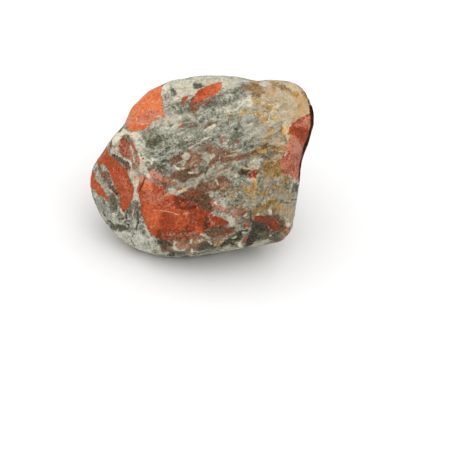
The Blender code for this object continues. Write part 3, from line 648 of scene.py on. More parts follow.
    "paleBesideSliver": ({"grey": 0.6}, 2, [(131, 133), (140, 132), (145, 140), (143, 152), (138, 152)]),
    "paleUnderCream": ({"grey": 0.4}, 2, [(108, 145), (118, 145), (120, 154), (112, 153)]),
    "paleOverWarm": ({"grey": 0.45}, 4, [(156, 112), (192, 117), (198, 126), (172, 130), (154, 128)]),
    "paleByLens": ({"grey": 0.42}, 2, [(163, 92), (172, 94), (172, 102), (163, 106)]),
    "paleMidRight": ({"grey": 0.12}, 3, [
        (215, 125), (230, 124), (232, 135), (222, 145), (207, 144), (207, 135)]),
    "duskUnderStreak": ({"grey": -0.4}, 3, [(190, 101), (204, 101), (222, 95), (224, 106), (192, 114)]),
    "rustUnderStreak": ({"rust": 0.7}, 2, [(186, 99), (206, 99), (206, 112), (190, 116)]),
    "duskSpot": ({"grey": -0.35}, 2, [
        (206, 147), (222, 146), (238, 149), (238, 158), (222, 158), (208, 156)]),
    "goldSpot": ({"gold": 0.55}, 2, [(226, 150), (238, 149), (238, 158), (226, 158)]),
    "rustSpot": ({"rust": 0.7}, 2, [(204, 146), (226, 146), (226, 156), (206, 156)]),
    "duskWave": ({"grey": -0.4}, 3, [(250, 200), (276, 198), (282, 207), (272, 215), (252, 216)]),
    "goldWave": ({"gold": 0.75}, 3, [(250, 200), (278, 198), (284, 208), (272, 216), (252, 216)]),
    "duskFold": ({"grey": -0.38}, 3, [(236, 211), (252, 212), (252, 227), (236, 227)]),
    "duskUnderRed": ({"grey": -0.35, "rust": 0.85}, 3, [
        (164, 238), (200, 232), (214, 228), (212, 240), (196, 249), (164, 250)]),
    "rustBesideTip": ({"rust": 0.7}, 3, [(206, 194), (224, 198), (234, 212), (212, 214), (205, 206)]),
    "goldPit": ({"gold": 0.5}, 3, [(238, 180), (250, 180), (254, 190), (250, 197), (240, 197)]),
    "goldBig": ({"gold": 0.75}, 3, [(260, 154), (284, 152), (286, 182), (266, 184)]),
    "duskBig": ({"grey": -0.3}, 3, [(256, 152), (280, 152), (280, 190), (274, 200), (256, 202)]),
    "duskIron": ({"grey": -0.2}, 3, [(157, 163), (174, 163), (174, 176), (160, 174)]),
    "paleBelowBand": ({"grey": 0.15}, 2, [(222, 170), (238, 171), (240, 181), (231, 184), (228, 177)]),
    "goldShoulder": ({"gold": 0.95}, 5, [
        (296, 95), (306, 93), (312, 104), (310, 114), (292, 122), (292, 115), (298, 108)]),
    "goldEdge": ({"gold": 0.7}, 3, [(284, 82), (300, 86), (304, 96), (298, 98), (290, 90), (282, 86)]),
    "calmRight": ({"calm": 0.45}, 4, [
        (242, 111), (262, 118), (270, 128), (262, 138), (246, 136), (240, 124)]),
    "calmLeft": ({"calm": 0.2}, 4, [(158, 112), (180, 114), (204, 122), (204, 136), (160, 132)]),
    "busyFoot": ({"calm": -0.3}, 4, [(160, 238), (236, 226), (284, 204), (290, 236), (236, 252), (160, 258)]),
    "foldTopDark": ({"red": 0.18}, 1.5, [
        (203.5, 223), (206, 216), (209, 217), (210.5, 222), (209, 230), (203, 231)]),
    "bigKnotTone": ({"red": 0.62}, 2, [(172, 208), (188, 210), (190, 222), (182, 229), (173, 228)]),
    "lobeTone": ({"red": 0.85}, 1.5, [(143, 177), (150, 181), (152, 190), (142, 190)]),
    "goldByIron": ({"gold": 0.6, "grey": -0.15}, 2, [(221, 187), (236, 187), (237, 200), (222, 199)]),
    "goldTop": ({"gold": 0.7}, 3, [(240, 83), (264, 83), (268, 97), (252, 97), (242, 92)]),
    # painted shade: the hollow behind the ledge at the top right is darker
    "shadedHollowTop": ({"grey": -0.35}, 3, [(240, 84), (264, 84), (268, 97), (252, 97), (242, 92)]),
    "duskPit": ({"grey": -0.3}, 3, [(236, 180), (254, 182), (270, 188), (268, 200), (240, 199)]),
    "paleAbove": ({"grey": 0.2}, 3, [(174, 182), (190, 182), (190, 190), (174, 190)]),
    "paleTopRim": ({"grey": 0.3}, 2, [(246, 77), (300, 79), (300, 82.5), (262, 83), (246, 81)]),
    "duskByFork": ({"grey": -0.35}, 2, [
        (170, 105), (175, 103), (182, 104), (185, 110), (180, 114.5), (172, 112)]),
    "paleOverFork": ({"grey": 0.4}, 2, [
        (163, 95), (172, 94), (181, 97), (181, 101), (172, 103), (163.5, 102)]),
    "duskMiddleLeft": ({"grey": -0.35, "rust": 0.55}, 2, [
        (179, 121), (188, 118.5), (197, 119.5), (198, 127), (190, 129.5), (181, 128)]),
    "duskByNotch": ({"grey": -0.6, "gold": 0.75}, 2, [
        (227, 153), (232, 150.5), (238, 152), (237, 158), (231, 161), (226.5, 158)]),
    "plainByNook": ({"gold": 0.1}, 2, [(259, 128.5), (266, 127), (269, 130), (267, 136.5), (260, 136)]),
    "goldNook": ({"gold": 0.65}, 2, [(268, 132), (275, 130), (277, 142), (271, 145), (265, 143)]),
    "goldByQuartz": ({"gold": 0.65}, 2, [(258, 119), (266, 118), (269, 123), (266, 128), (259, 127)]),
    "paleMiddle": ({"grey": 0.4}, 2, [(219, 128), (226, 127), (229, 132), (227, 136), (220, 135.5)]),
    "rustMiddle": ({"rust": 0.75}, 2, [(218, 137), (226, 136), (229, 141), (225, 145), (219, 143)]),
    "goldLowMiddle": ({"gold": 0.75}, 3, [(240, 184), (252, 183), (254, 191), (246, 195), (240, 192)]),
    "paleFootLeft": ({"grey": 0.75}, 3, [
        (118, 228), (131, 231), (139, 236), (142, 246), (136, 251), (126, 245), (114, 234)]),
    "duskFootLeft": ({"grey": 0.2}, 2, [(142, 238), (149, 240), (151, 247), (146, 250), (142.5, 246)]),
    "paleByRed": ({"grey": 0.4}, 2, [(128, 216), (136, 214), (141, 219), (138, 226), (130, 224)]),
    "paleByTriangle": ({"grey": 0.5}, 2, [
        (104, 141), (110, 136), (119, 137), (120, 146), (112, 150), (105, 147)]),
    "paleHollow": ({"grey": 0.3}, 2, [(147, 160), (156, 159), (158, 166), (150, 168.5), (146, 165)]),
    "lensSideB": ({"milk": 0.6}, 2, [(125, 117), (131, 114), (135, 119), (132, 128), (126, 126)]),
    "rustAboveLine": ({"rust": 0.75}, 2, [(187, 144), (196, 142.5), (198, 149), (191, 152), (187, 150)]),
    "goldLowRight": ({"gold": 0.75}, 3, [
        (274, 178), (286, 176), (293, 190), (291, 202), (284, 200), (278, 190)]),
    "paleUnderBand": ({"grey": 0.4}, 2, [(233, 161.5), (240, 159.5), (246, 162), (244, 168), (237, 169)]),
    "paleByFleck": ({"grey": 0.45}, 2, [(268, 121), (274, 120.5), (277, 126), (273, 129), (268, 127)]),
    "duskByFold": ({"grey": -0.6, "gold": 0.9}, 2, [
        (251, 209), (257, 207.5), (262, 211), (259, 216), (252, 217)]),
    "rustByIron": ({"rust": 0.85}, 2, [(210, 177), (217, 174.5), (221, 178), (220, 183), (213, 184)]),
    "duskLowMiddle": ({"grey": -0.55}, 3, [(259, 191), (266, 190), (270, 195), (267, 201), (260, 200)]),
    "paleLowLeftB": ({"grey": 0.35}, 3, [(106, 215), (112, 214), (118, 219), (117, 225), (109, 223)]),
    "goldByIronB": ({"gold": 0.65}, 2, [(228, 175), (235, 174), (238, 180), (234, 185), (229, 184)]),
    "rustAbovePink": ({"rust": 0.8, "grey": -0.5}, 2, [
        (155, 167), (162, 166), (166, 171), (164, 177), (157, 174)]),
    "goldUnderRim": ({"gold": 0.9}, 2, [(267, 89), (274, 87), (278, 91), (274, 97), (268, 96)]),
    "coolLow": ({"warm": -0.9}, 5, [
        (94, 190), (108, 196), (130, 200), (138, 206), (146, 230), (156, 246), (150, 256), (128, 248),
        (104, 222)]),
    "coolMiddle": ({"warm": -0.8}, 5, [(150, 148), (170, 150), (176, 168), (160, 174), (150, 166)]),
    "duskPink": ({"grey": -0.5}, 2, [(151, 163), (160, 163), (162, 171), (156, 171), (151, 169)]),
    "bladeRimMilk": ({"milk": 0.6}, 2, [(97, 152), (104, 146), (108, 148), (106, 155), (99, 161)]),
    "warmRight": ({"warm": 0.9}, 5, [(256, 110), (280, 120), (288, 140), (284, 170), (290, 200), (262, 200)]),
    "warmMiddle": ({"warm": 0.6}, 6, [
        (186, 146), (210, 140), (240, 150), (240, 180), (200, 190), (184, 175)]),
    "warmFoot": ({"warm": 0.7}, 5, [
        (186, 234), (215, 232), (240, 222), (250, 205), (285, 205), (290, 235), (220, 252), (186, 252)]),
}

# Thin veins and lines: what they are made of, tone, width, and the points along them.
veins = {
    "lensRimA": ("hair", 0.7, 1.2, [(136.5, 117.5), (137, 120)]),
    "lensRimB": ("hair", 0.8, 1.1, [(157, 117), (161, 115.5)]),
    "lensRimC": ("hair", 0.6, 1.2, [(137, 123), (142, 124.5), (148, 123.5)]),
    "lensRing": ("hair", 0.4, 0.6, [(137, 117.5), (145, 112.5), (150, 110), (156, 109.5), (159.5, 111)]),
    "rimLine": ("iron", 0.2, 1.8, [(122.3, 128.5), (115, 136.5), (109, 147)]),
    "brownColumn": ("ochre", 0.25, 2.4, [(281, 122), (281.5, 128), (280.5, 133)]),
    "brownStreak": ("iron", 0.5, 1.4, [(231.5, 114), (229, 119), (228.5, 126)]),
    "ledgeLine": ("pale", 0.6, 1.3, [
        (226, 112.3), (230, 110.7), (234, 110), (238, 107), (241, 103.7), (247, 99), (249.5, 97.5)]),
    "spurLine": ("pale", 0.6, 1.7, [(250, 98.5), (242, 104.2), (235, 110.3)]),
    "besideTriangle": ("pale", 0.6, 1.4, [(130.7, 146), (134.3, 157), (135, 162)]),
    "ironRim": ("hair", 0.1, 1.1, [(220.5, 188.5), (224, 187), (228, 183.5)]),
    "sliverTail": ("iron", 0.7, 1.6, [(136.8, 153), (138.5, 158), (143, 168)]),
    "whiteVein": ("pale", 0.85, 1.2, [
        (112, 152.5), (118, 155), (129, 161), (132, 164), (132.5, 170), (131.5, 174), (132, 180), (134, 184),
        (135.5, 190), (136, 195), (137, 200)]),
    "paleVein": ("pale", 0.6, 1.5, [(138, 148), (139, 155), (141, 163), (142, 170), (145, 174), (149, 178)]),
    "bigCrack": ("seam", 0.2, 1.5, [(145, 177.5), (143.5, 181), (142.5, 185), (139, 191.5)]),
    "bigHair": ("hair", 0.45, 0.9, [
        (154, 210), (158, 210.5), (163, 210.5), (168, 212), (172, 212.5), (180, 214.5)]),
    "bigHairLow": ("hair", 0.5, 0.8, [(149, 226.5), (152, 227), (155, 225)]),
    "bigHairUpper": ("hair", 0.1, 0.9, [(160, 199), (164, 196), (169, 193)]),
    "knotA": ("hair", 0.45, 0.9, [(183, 213.5), (187, 213), (190, 213.5)]),
    "knotB": ("hair", 0.4, 0.8, [(186, 213.5), (187, 217.5)]),
    "triangleWhite": ("hair", 0.7, 1.6, [(213.5, 215.5), (215.3, 214.8)]),
    "tipHair": ("hair", 0.4, 0.9, [(209, 216), (211, 221), (213.5, 223.5)]),
    "pinkLine": ("red", 0.62, 2, [
        (210, 201), (215, 204.5), (220, 206.5), (225, 210), (231, 213), (237, 217)]),
    "redArc": ("red", 0.6, 1.4, [(189, 206), (193, 204.5), (199, 204.8)]),
    "whiteLine": ("pale", 0.6, 1.2, [(189, 149), (194, 145), (200, 142), (204, 139.5), (209, 137.5)]),
    "redByLine": ("iron", 0.85, 1.4, [(187.5, 149.5), (195, 142.7)]),
    "peachLine": ("pale", 0.5, 1.2, [(203, 139), (209, 137)]),
    "swirlOuter": ("pale", 0.3, 0.9, [(191, 167), (191.5, 164), (193, 161.5), (196, 160.5)]),
    "swirlInner": ("pale", 0.25, 0.9, [(194, 167), (196, 165), (198, 165.5), (199, 168), (196, 168.5)]),
    "creamTick": ("pale", 0.8, 1.4, [(175, 166), (177, 168.5), (179, 169)]),
    "paleUnderSwirl": ("pale", 0.5, 2, [(189, 172.5), (193, 172)]),
    "bandVein": ("pale", 0.2, 0.8, [(215.5, 165), (219, 159), (220.5, 155)]),
    "ironVein": ("pale", 0.4, 1.8, [(216, 180), (217.5, 182), (218, 184.5)]),
    "yellowLineTop": ("yellow", 0.6, 1.5, [(270.5, 115.7), (274, 119), (277, 121)]),
    "pitRimTop": ("yellow", 0.95, 1.5, [(243, 167.5), (250, 169), (258, 168.7), (260.3, 171)]),
    "pitRimLow": ("yellow", 0.95, 1.7, [(258.7, 173.5), (256, 178), (251, 180)]),
    "yellowCrescent": ("yellow", 0.35, 2.6, [
        (252.5, 181), (254.7, 182.5), (255.5, 186), (254.7, 190), (252.5, 194)]),
    "yellowTip": ("yellow", 0.5, 1.7, [(255, 179.5), (256.3, 183)]),
    "tipCream": ("pale", 0.8, 1.2, [(120.5, 209), (122, 213), (124.5, 214)]),
    "tipCreamB": ("pale", 0.6, 1, [(116.5, 210.5), (119, 208), (117.7, 204)]),
    "edgePale": ("pale", 0.6, 1.4, [(101, 212), (103.5, 216.5), (107.5, 220)]),
    "lowPaleA": ("pale", 0.45, 1.6, [(113, 219), (117, 222), (122, 223)]),
    "lowPaleB": ("pale", 0.5, 1, [(146, 228), (148, 233), (151, 238), (153, 243), (151, 247)]),
    "lowDarkB": ("dark", 0.5, 2.2, [(137, 212), (138.5, 218), (138, 224), (136.7, 228)]),
    "lowDarkC": ("dark", 0.55, 2, [(127, 211), (126.5, 217), (124.5, 222)]),
    "bladeEdge": ("pale", 0.5, 1.3, [(110, 190), (115, 194), (118, 198)]),
    "lowLeftStreakA": ("pale", 0.5, 1.2, [
        (101, 211), (104, 216), (110, 219), (114, 223), (120, 221), (125, 222)]),
    "lowLeftStreakB": ("pale", 0.5, 1, [(110, 213), (117, 219), (122, 222.5), (127, 220)]),
    "lowLeftStreakC": ("pale", 0.6, 1.2, [(122, 210), (125, 214), (124.5, 219), (122, 222)]),
    "lowLeftStreakD": ("pale", 0.6, 1.3, [(132.5, 210), (133, 216), (134.5, 221), (135.5, 227)]),
    "lowLeftStreakE": ("pale", 0.6, 1.2, [(138, 228), (139.5, 224), (143, 223)]),
    "lowLeftStreakF": ("pale", 0.5, 1.2, [(144, 224), (147, 229), (149, 234), (152, 239)]),
    "lowLeftStreakG": ("pale", 0.5, 0.8, [(131, 234), (127, 233), (123, 233)]),
    "lowLeftStreakH": ("pale", 0.5, 0.8, [(132, 239), (135, 244)]),
    "lowLeftStreakI": ("pale", 0.55, 0.9, [(148, 249), (152, 252), (156, 254)]),
    "lowLeftCream": ("pale", 0.6, 1.8, [(151, 241), (152.5, 247)]),
    "lowLeftSeam": ("dark", 0.4, 1.4, [(103, 212), (108, 218)]),
    "footSeam": ("dark", 0.5, 1.4, [(130, 239), (135, 245)]),
    "crescentSeam": ("dark", 0.3, 1.7, [(240, 232), (247.5, 230)]),
    "blackSeam": ("dark", 0.3, 1.8, [(250.5, 211), (251, 221)]),
    "forkArm": ("iron", 0.3, 1.6, [(185, 100), (190, 105.5)]),
    "grainRim": ("yellow", 0.9, 1.3, [(183.3, 158), (182.8, 155.3), (184, 152.5)]),
    "redSmear": ("red", 0.45, 1.6, [(220.7, 140.7), (223, 142.5)]),
    "notchLine": ("dark", 0.4, 1, [(227.3, 144.3), (229.5, 146.7)]),
    "whiteNotch": ("pale", 0.6, 0.9, [(229.5, 147.3), (232.7, 147.5)]),
    "spotLine": ("yellow", 0.6, 1, [(225, 149.8), (225.6, 152.3), (225.4, 154)]),
    "leftRimVein": ("pale", 0.25, 1.5, [(97.5, 180), (100.5, 184.5), (105, 188.5), (110, 191.5)]),
    "peakStreak": ("iron", 0.15, 1.7, [(114, 147), (115.7, 150.5)]),
    "tipUnder": ("pale", 0.85, 2.2, [(239.3, 242), (239.6, 245)]),
    "whiteTick": ("pale", 0.9, 1.4, [(208.7, 242), (211.3, 244.7)]),
    "creamFoot": ("pale", 0.75, 2.2, [(192, 248.5), (192.4, 252.3)]),
    "whiteByYellow": ("pale", 0.85, 1.4, [(199.5, 240), (199.8, 242.7)]),
    "maroonRim": ("iron", 0.05, 1.6, [(304.7, 94), (307, 98), (309, 103)]),
    "edgeStripA": ("dark", 0.6, 1.6, [(291.5, 191), (294.5, 184)]),
    "edgeStripB": ("dark", 0.45, 1.6, [(295.5, 191), (298, 183)]),
    "edgeLine": ("dark", 0.5, 1.3, [(283, 203), (287, 202.3), (291.5, 203)]),
    "forkLine": ("pale", 0.3, 1.2, [(173, 102), (178, 110)]),
    "greenLine": ("pale", 0.25, 1.2, [(158, 133), (163, 138), (163, 147)]),
    "footVein": ("pale", 0.3, 1.2, [(167, 239), (171, 243)]),
}

# Marks on the sides that the picture doesn't show: what, tone, turn and rise from the middle in
# degrees (turn 0 is towards the camera, 90 to the right), length and width in mm, and lean.
hiddenMarks = {
    "backRed": ("red", 0.58, (168, 22), (15, 8), 25),
    "backOrange": ("red", 0.84, (215, 38), (8, 5), 60),
    "backSliver": ("red", 0.45, (196, 2), (13, 3.2), 15),
    "backDark": ("dark", 0.3, (150, -4), (9, 5), 40),
    "backCream": ("pale", 0.6, (182, 44), (8, 3), 20),
    "backOchre": ("ochre", 0.45, (140, 30), (10, 4), 30),
    "backIron": ("iron", 0.35, (200, 22), (12, 5), 20),
    "rightSpot": ("red", 0.5, (110, 12), (7, 4), 70),
    "rightIron": ("iron", 0.4, (100, -12), (9, 4), 30),
    "rightOchre": ("ochre", 0.5, (118, 36), (9, 4), 20),
    "leftRed": ("red", 0.66, (262, 4), (9, 5), 40),
    "leftDark": ("dark", 0.5, (250, -16), (8, 4), 20),
    "leftCream": ("pale", 0.5, (258, 28), (7, 2.6), 50),
    "leftIron": ("iron", 0.35, (236, 8), (9, 4), 10),
    "topRed": ("red", 0.5, (172, 68), (7, 3.4), 30),
    "topOchre": ("ochre", 0.4, (120, 62), (7, 3), 60),
    "underRed": ("red", 0.5, (150, -74), (12, 6), 20),
    "underDark": ("dark", 0.5, (300, -66), (8, 4), 60),
    "underIron": ("iron", 0.4, (40, -70), (10, 5), 35),
    "underCream": ("pale", 0.4, (220, -70), (7, 3), 75),
    "frontFootRed": ("red", 0.45, (20, -52), (7, 3), 10),
}

# Stains on those sides: size in mm, how rare, how sharp, and the number that sets the pattern.
stains = {
    "iron": (4.6, 0.16, 4.0, 11.0),
    "ochre": (4.0, 0.22, 3.6, 17.0),
    "dark": (3.6, 0.22, 3.2, 23.0),
    "pale": (2.6, 0.26, 2.4, 29.0),
    "quartz": (6.0, 0.2, 5.6, 31.0),
}

# Soft tints there: where they start from, how much they vary, size in mm, pattern, and the most.
unseenTints = {
    "mottle": (0.5, 1.2, 6.0, 53.0, 1.5),
    "warm": (0.4, 0.8, 9.0, 43.0, 1.0),
    "milk": (0.0, 0.6, 3.0, 47.0, 1.0),
}

# The minerals in the order in which they cover each other.
minerals = ("quartz", "iron", "ochre", "dark", "pale", "yellow", "red", "seam", "hair")
tintNames = ("milk", "grey", "warm", "rust", "gold", "mottle", "calm")


def smoothStep(value, low, high):
    part = np.clip((value - low) / (high - low), 0, 1)
    return part * part * (3 - 2 * part)


def offSide(spots, start, end):
    # how far each spot is from one straight side
    run = np.array(end) - np.array(start)
    fromStart = spots - np.array(start)
    part = np.clip(fromStart @ run / (run @ run), 0, 1)
    return np.hypot(*(fromStart - part[:, None] * run).T)


def offLine(spots, points):
    # how far each spot is from a bent line
    return np.min([offSide(spots, start, end) for start, end in zip(points, points[1:])], axis=0)


def insideBy(spots, outline):
    # how far each spot is inside an outline, negative outside it
    x, y = spots[:, 0], spots[:, 1]
    within = np.zeros(len(spots), bool)
    for (startX, startY), (endX, endY) in zip(outline, outline[1:] + outline[:1]):
        if startY != endY:
            crossing = startX + (y - startY) / (endY - startY) * (endX - startX)
            within ^= ((startY > y) != (endY > y)) & (x < crossing)
    nearest = offLine(spots, outline + outline[:1])
    return np.where(within, nearest, -nearest)


def raggedOutline(length, width, lean, chance):
    # a broken-looking outline round the origin, in mm
    corners = []
    count = 11
    for number in range(count):
        angle = 2 * pi * (number + chance.uniform(-0.3, 0.3)) / count
        reach = chance.uniform(0.78, 1.08) / 2
        along, aside = cos(angle) * length * reach, sin(angle) * width * reach
        turn = radians(lean)
        corners.append((along * cos(turn) - aside * sin(turn), along * sin(turn) + aside * cos(turn)))
    return corners


def grainAxes():
    # along the streaks, across them, and out of the broad face
    lean = radians(stone["grainLean"])
    along = cos(lean) * pictureRight + sin(lean) * pictureUp
    outward = -ahead
    return along, outward.cross(along), outward


def alongGrain(points, length=1.0, width=1.0, depth=1.0):
    # the points turned to lie with the streaks, and shortened by these lengths
    along, aside, outward = grainAxes()
    turned = [points @ np.array(along), points @ np.array(aside), points @ np.array(outward)]
    return np.column_stack(turned) / np.array((length, width, depth))


def fractalField(points, size, octaves=3, seed=0.0):
    # soft noise at each point, about -1 to 1, for points in mm
    shift = Vector((seed, 2 * seed, -seed))
    return np.array([noise.fractal(Vector(place) / size + shift, 0.9, 2.1, octaves) for place in points])


def chipField(points, seed=0.0):
    # small tilted faces that meet in steps, as broken stone has
    shift = Vector((seed, seed, seed))
    heights = []
    for place in points:
        here = Vector(place) + shift
        cell = noise.voronoi(here)[1][0]
        tilt = Vector([noise.noise(cell * 7.3 + Vector((aside, 0, 0))) for aside in (0.0, 31.4, 67.8)])
        heights.append((here - cell).dot(tilt) + 0.35 * tilt.z)
    return np.array(heights)


def stoneBody():
    # the stone's own solid, with a mesh fine enough for the marks and the broken surface
    bm = bmesh.new()
    bm.from_mesh(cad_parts["bloodstone"].data)
    bmesh.ops.remove_doubles(bm, verts=bm.verts[:], dist=0.001 * mm)
    coarse = bpy.data.meshes.new("stoneCoarse")
    bm.to_mesh(coarse)
    bm.free()
    body = bpy.data.objects.new("bloodstoneLump", coarse)
    bpy.context.scene.collection.objects.link(body)
    remesh = body.modifiers.new("evenMesh", "REMESH")
    remesh.mode = "VOXEL"
    remesh.voxel_size = stone["voxel"] * mm
    fine = bpy.data.meshes.new_from_object(body.evaluated_get(bpy.context.evaluated_depsgraph_get()))
    body.modifiers.clear()
    body.data = fine
    bm = bmesh.new()
    bm.from_mesh(fine)
    for _ in range(stone["smoothing"]):
        bmesh.ops.smooth_vert(
            bm, verts=bm.verts[:], factor=0.5, use_axis_x=True, use_axis_y=True, use_axis_z=True)
    bm.to_mesh(fine)
    bm.free()
    return body


def readPoints(mesh, what):
    # every point's place ("co") or direction ("normal")
    values = np.zeros(len(mesh.vertices) * 3)
    mesh.vertices.foreach_get(what, values)
    return values.reshape(-1, 3)


def towardsCamera(places):
    view = np.array(cameraPlace) - places
    return view / np.linalg.norm(view, axis=1)[:, None]


def readMarks(places, normals):
    # for each mineral, how far inside it each point is in mm, and its tone; then the soft tints
    fromMiddle = (places - np.array(stoneMiddle)) / mm
    size, amount = stone["edgeWander"]
    wander = np.column_stack([fractalField(fromMiddle, size, 2, seed) for seed in (5.0, 9.0)])
    spots = pictureSpots(places) + amount * wander
    perMm = pictureView["pixelsPerMm"]

    # the picture's marks run on round the outline, and end unevenly on the unseen sides
    turnedAway = -(normals * towardsCamera(places)).sum(axis=1)
    endSize, endAmount = stone["frontEnd"]
    frontEnd = endAmount * fractalField(fromMiddle, endSize, 2, 3.0)
    sides = fromMiddle @ np.array(-ahead) + stone["wrap"] + frontEnd
    turnLimit, turnRate = stone["turnedAway"]
    front = np.minimum(sides, turnRate * (turnLimit - turnedAway) + frontEnd)

    edge = {mineral: np.full(len(places), -9.0) for mineral in minerals}
    tone = {mineral: np.full(len(places), 0.5) for mineral in minerals}

    def lay(mineral, value, inside, soft=0.25):
        part = smoothStep(inside, -soft, soft)
        tone[mineral] = tone[mineral] * (1 - part) + value * part
        edge[mineral] = np.maximum(edge[mineral], inside)

    for mineral, value, outline in patches.values():
        lay(mineral, value, np.minimum(insideBy(spots, outline) / perMm, front))
    for mineral, value, width, points in veins.values():
        inside = stone["veinSlope"] * (width / 2 - offLine(spots, points)) / perMm
        lay(mineral, value, np.minimum(inside, front))
    for mineral, value, radius, middles in grains.values():
        for middle in middles:
            reach = radius - np.hypot(*(spots - np.array(middle)).T)
            lay(mineral, value, np.minimum(reach / perMm, front))
    softTints = {what: np.zeros(len(places)) for what in tintNames}
    for changes, soft, outline in tints.values():
        inside = np.minimum(insideBy(spots, outline) / perMm, front)
        part = smoothStep(inside, -soft / perMm, soft / perMm)
        for what, value in changes.items():
            target = softTints if what in softTints else tone
            target[what] = target[what] * (1 - part) + value * part

    # the brown rind covers the right edge and the red behind it, and is bare of mottle and milk
    rind = insideBy(spots, patches["rind"][2])
    behind = np.minimum(insideBy(spots, patches["rightRed"][2]), 30 * (turnedAway - 0.04))
    lay("red", stone["rindTone"], np.minimum(np.maximum(rind, behind) / perMm, sides), 0.15)
    bare = 1 - smoothStep(rind, -0.6, 0.6)
    mottleBehind = 1.5 * smoothStep(np.minimum(behind, 4), -1, 2)
    softTints["mottle"] = bare * np.maximum(softTints["mottle"], mottleBehind)
    softTints["milk"] *= bare

    # the unseen sides carry the same kinds of marks
    unseen = -front
    chance = Random(23)
    for mineral, value, (turn, rise), (length, width), lean in hiddenMarks.values():
        turn, rise = radians(turn), radians(rise)
        outward = Vector((sin(turn) * cos(rise), -cos(turn) * cos(rise), sin(rise)))
        level = Vector((cos(turn), sin(turn), 0))
        steep = outward.cross(level)
        flat = np.column_stack((fromMiddle @ np.array(level), fromMiddle @ np.array(steep)))
        inside = insideBy(flat + 0.9 * wander, raggedOutline(length, width, lean, chance))
        near = fromMiddle @ np.array(outward) - 4.0
        lay(mineral, value, np.minimum(np.minimum(inside, near), unseen), 0.4)
    return unseen, edge, tone, softTints


def addUnseenStains(points, behindFront, edge, tone, softTints):
    # streaky stains on the unseen sides, spread as on the seen one
    unseen = smoothStep(behindFront, -1.5, 1.5)
    streaky = alongGrain(points, length=3.0, depth=1.5)
    for mineral, (size, share, steepness, seed) in stains.items():
        field = fractalField(streaky, size, 3, seed)
        inside = np.minimum((field - share) * steepness, (unseen - 0.5) * 4)
        new = inside > edge[mineral]
        edge[mineral] = np.where(new, inside, edge[mineral])
        stainTone = 0.5 + 0.5 * fractalField(streaky, 2.0, 1, seed + 1)
        tone[mineral] = np.where(new & (unseen > 0), stainTone, tone[mineral])
    for what, (start, amount, size, seed, most) in unseenTints.items():
        softTints[what] += unseen * np.clip(start + amount * fractalField(points, size, 2, seed), 0, most)
    softTints["grey"] += unseen * 0.35 * fractalField(streaky, 5.0, 2, 41.0)
    tone["red"] += unseen * 0.3 * fractalField(points, 5.0, 2, 51.0)


def breakSurface(mesh, edge):
    # broken faces, bumps, streaks and pits, calmer along the outline and in the red
    places, normals = readPoints(mesh, "co"), readPoints(mesh, "normal")
    points = places / mm
    bumpSize, bumpHeight = stone["bumps"]
    gritSize, gritHeight = stone["grit"]
    length, width, streakHeight = stone["streaks"]
    ridges = 1 - 2 * np.abs(fractalField(alongGrain(points, length, width, width * 1.6), 1.0, 2, 2.0))
    bendSize, bend = stone["chipBend"]
    warp = bend * np.column_stack([fractalField(points, bendSize, 2, seed) for seed in (6.0, 7.0, 8.0)])
    chipLength, chipWidth, chipHeight = stone["chips"]
    chips = chipField(alongGrain(points, chipLength, chipWidth, chipWidth * 1.4) + warp, 3.0)
    pitSpacing, pitDepth = stone["pits"]
    hollows = smoothStep(fractalField(points, pitSpacing, 2, 12.0), 0.38, 0.62)
    height = (
        bumpHeight * fractalField(points, bumpSize, 3, 1.0)
        + gritHeight * fractalField(points, gritSize, 3, 4.0)
        + streakHeight * (ridges - 0.6)
        + chipHeight * chips
        - pitDepth * hollows
    )
    facing = np.abs((normals * towardsCamera(places)).sum(axis=1))
    height *= stone["rimCalm"] + (1 - stone["rimCalm"]) * smoothStep(facing, 0.0, 0.5)
    red = smoothStep(edge["red"], -0.3, 0.5)
    height *= 1 - (1 - stone["redCalm"]) * red
    roundRed = smoothStep(edge["red"], 0.3, -0.2) * smoothStep(edge["red"], -0.6, -0.2)
    height -= stone["darkSunk"] * smoothStep(edge["dark"], -0.2, 0.9)
    height -= stone["seamSunk"] * smoothStep(edge["seam"], -0.15, 0.15)
    height += stone["paleRise"] * smoothStep(edge["pale"], -0.3, 0.4) * (1 - red)
    height -= stone["redGroove"] * roundRed
    left, low, high = stone["footCalm"]
    foot = left + (1 - left) * smoothStep(points[:, 2], low, high)
    places += normals * ((height + stone["swell"]) * foot * mm)[:, None]
    resting = (normals[:, 2] < -0.9) & (points[:, 2] < stone["restingFace"])
    places[:, 2] = np.where(resting, 0.0, np.maximum(places[:, 2], 0.0))
    mesh.vertices.foreach_set("co", places.ravel())
    mesh.update()
    return height


def keepMarks(mesh, edge, tone, softTints, height):
    # the marks as named attributes: x is how far inside in mm, y the tone
    zeros = np.zeros(len(mesh.vertices))
    fields = {mineral: (edge[mineral], tone[mineral], zeros) for mineral in minerals}
    fields["red"] = (edge["red"], tone["red"], softTints["mottle"])
    fields["quartz"] = (edge["quartz"], tone["quartz"], softTints["calm"])
    fields["tints"] = (softTints["milk"], softTints["grey"], softTints["warm"])
    # for flecks, x is the broken surface's height, which the finish turns into painted shade in its hollows;
    # y and z are the rust and gold stains
    fields["flecks"] = (height, softTints["rust"], softTints["gold"])
    for name, columns in fields.items():
        attribute = mesh.attributes.new(name, "FLOAT_VECTOR", "POINT")
        attribute.data.foreach_set("vector", np.column_stack(columns).astype(np.float32).ravel())


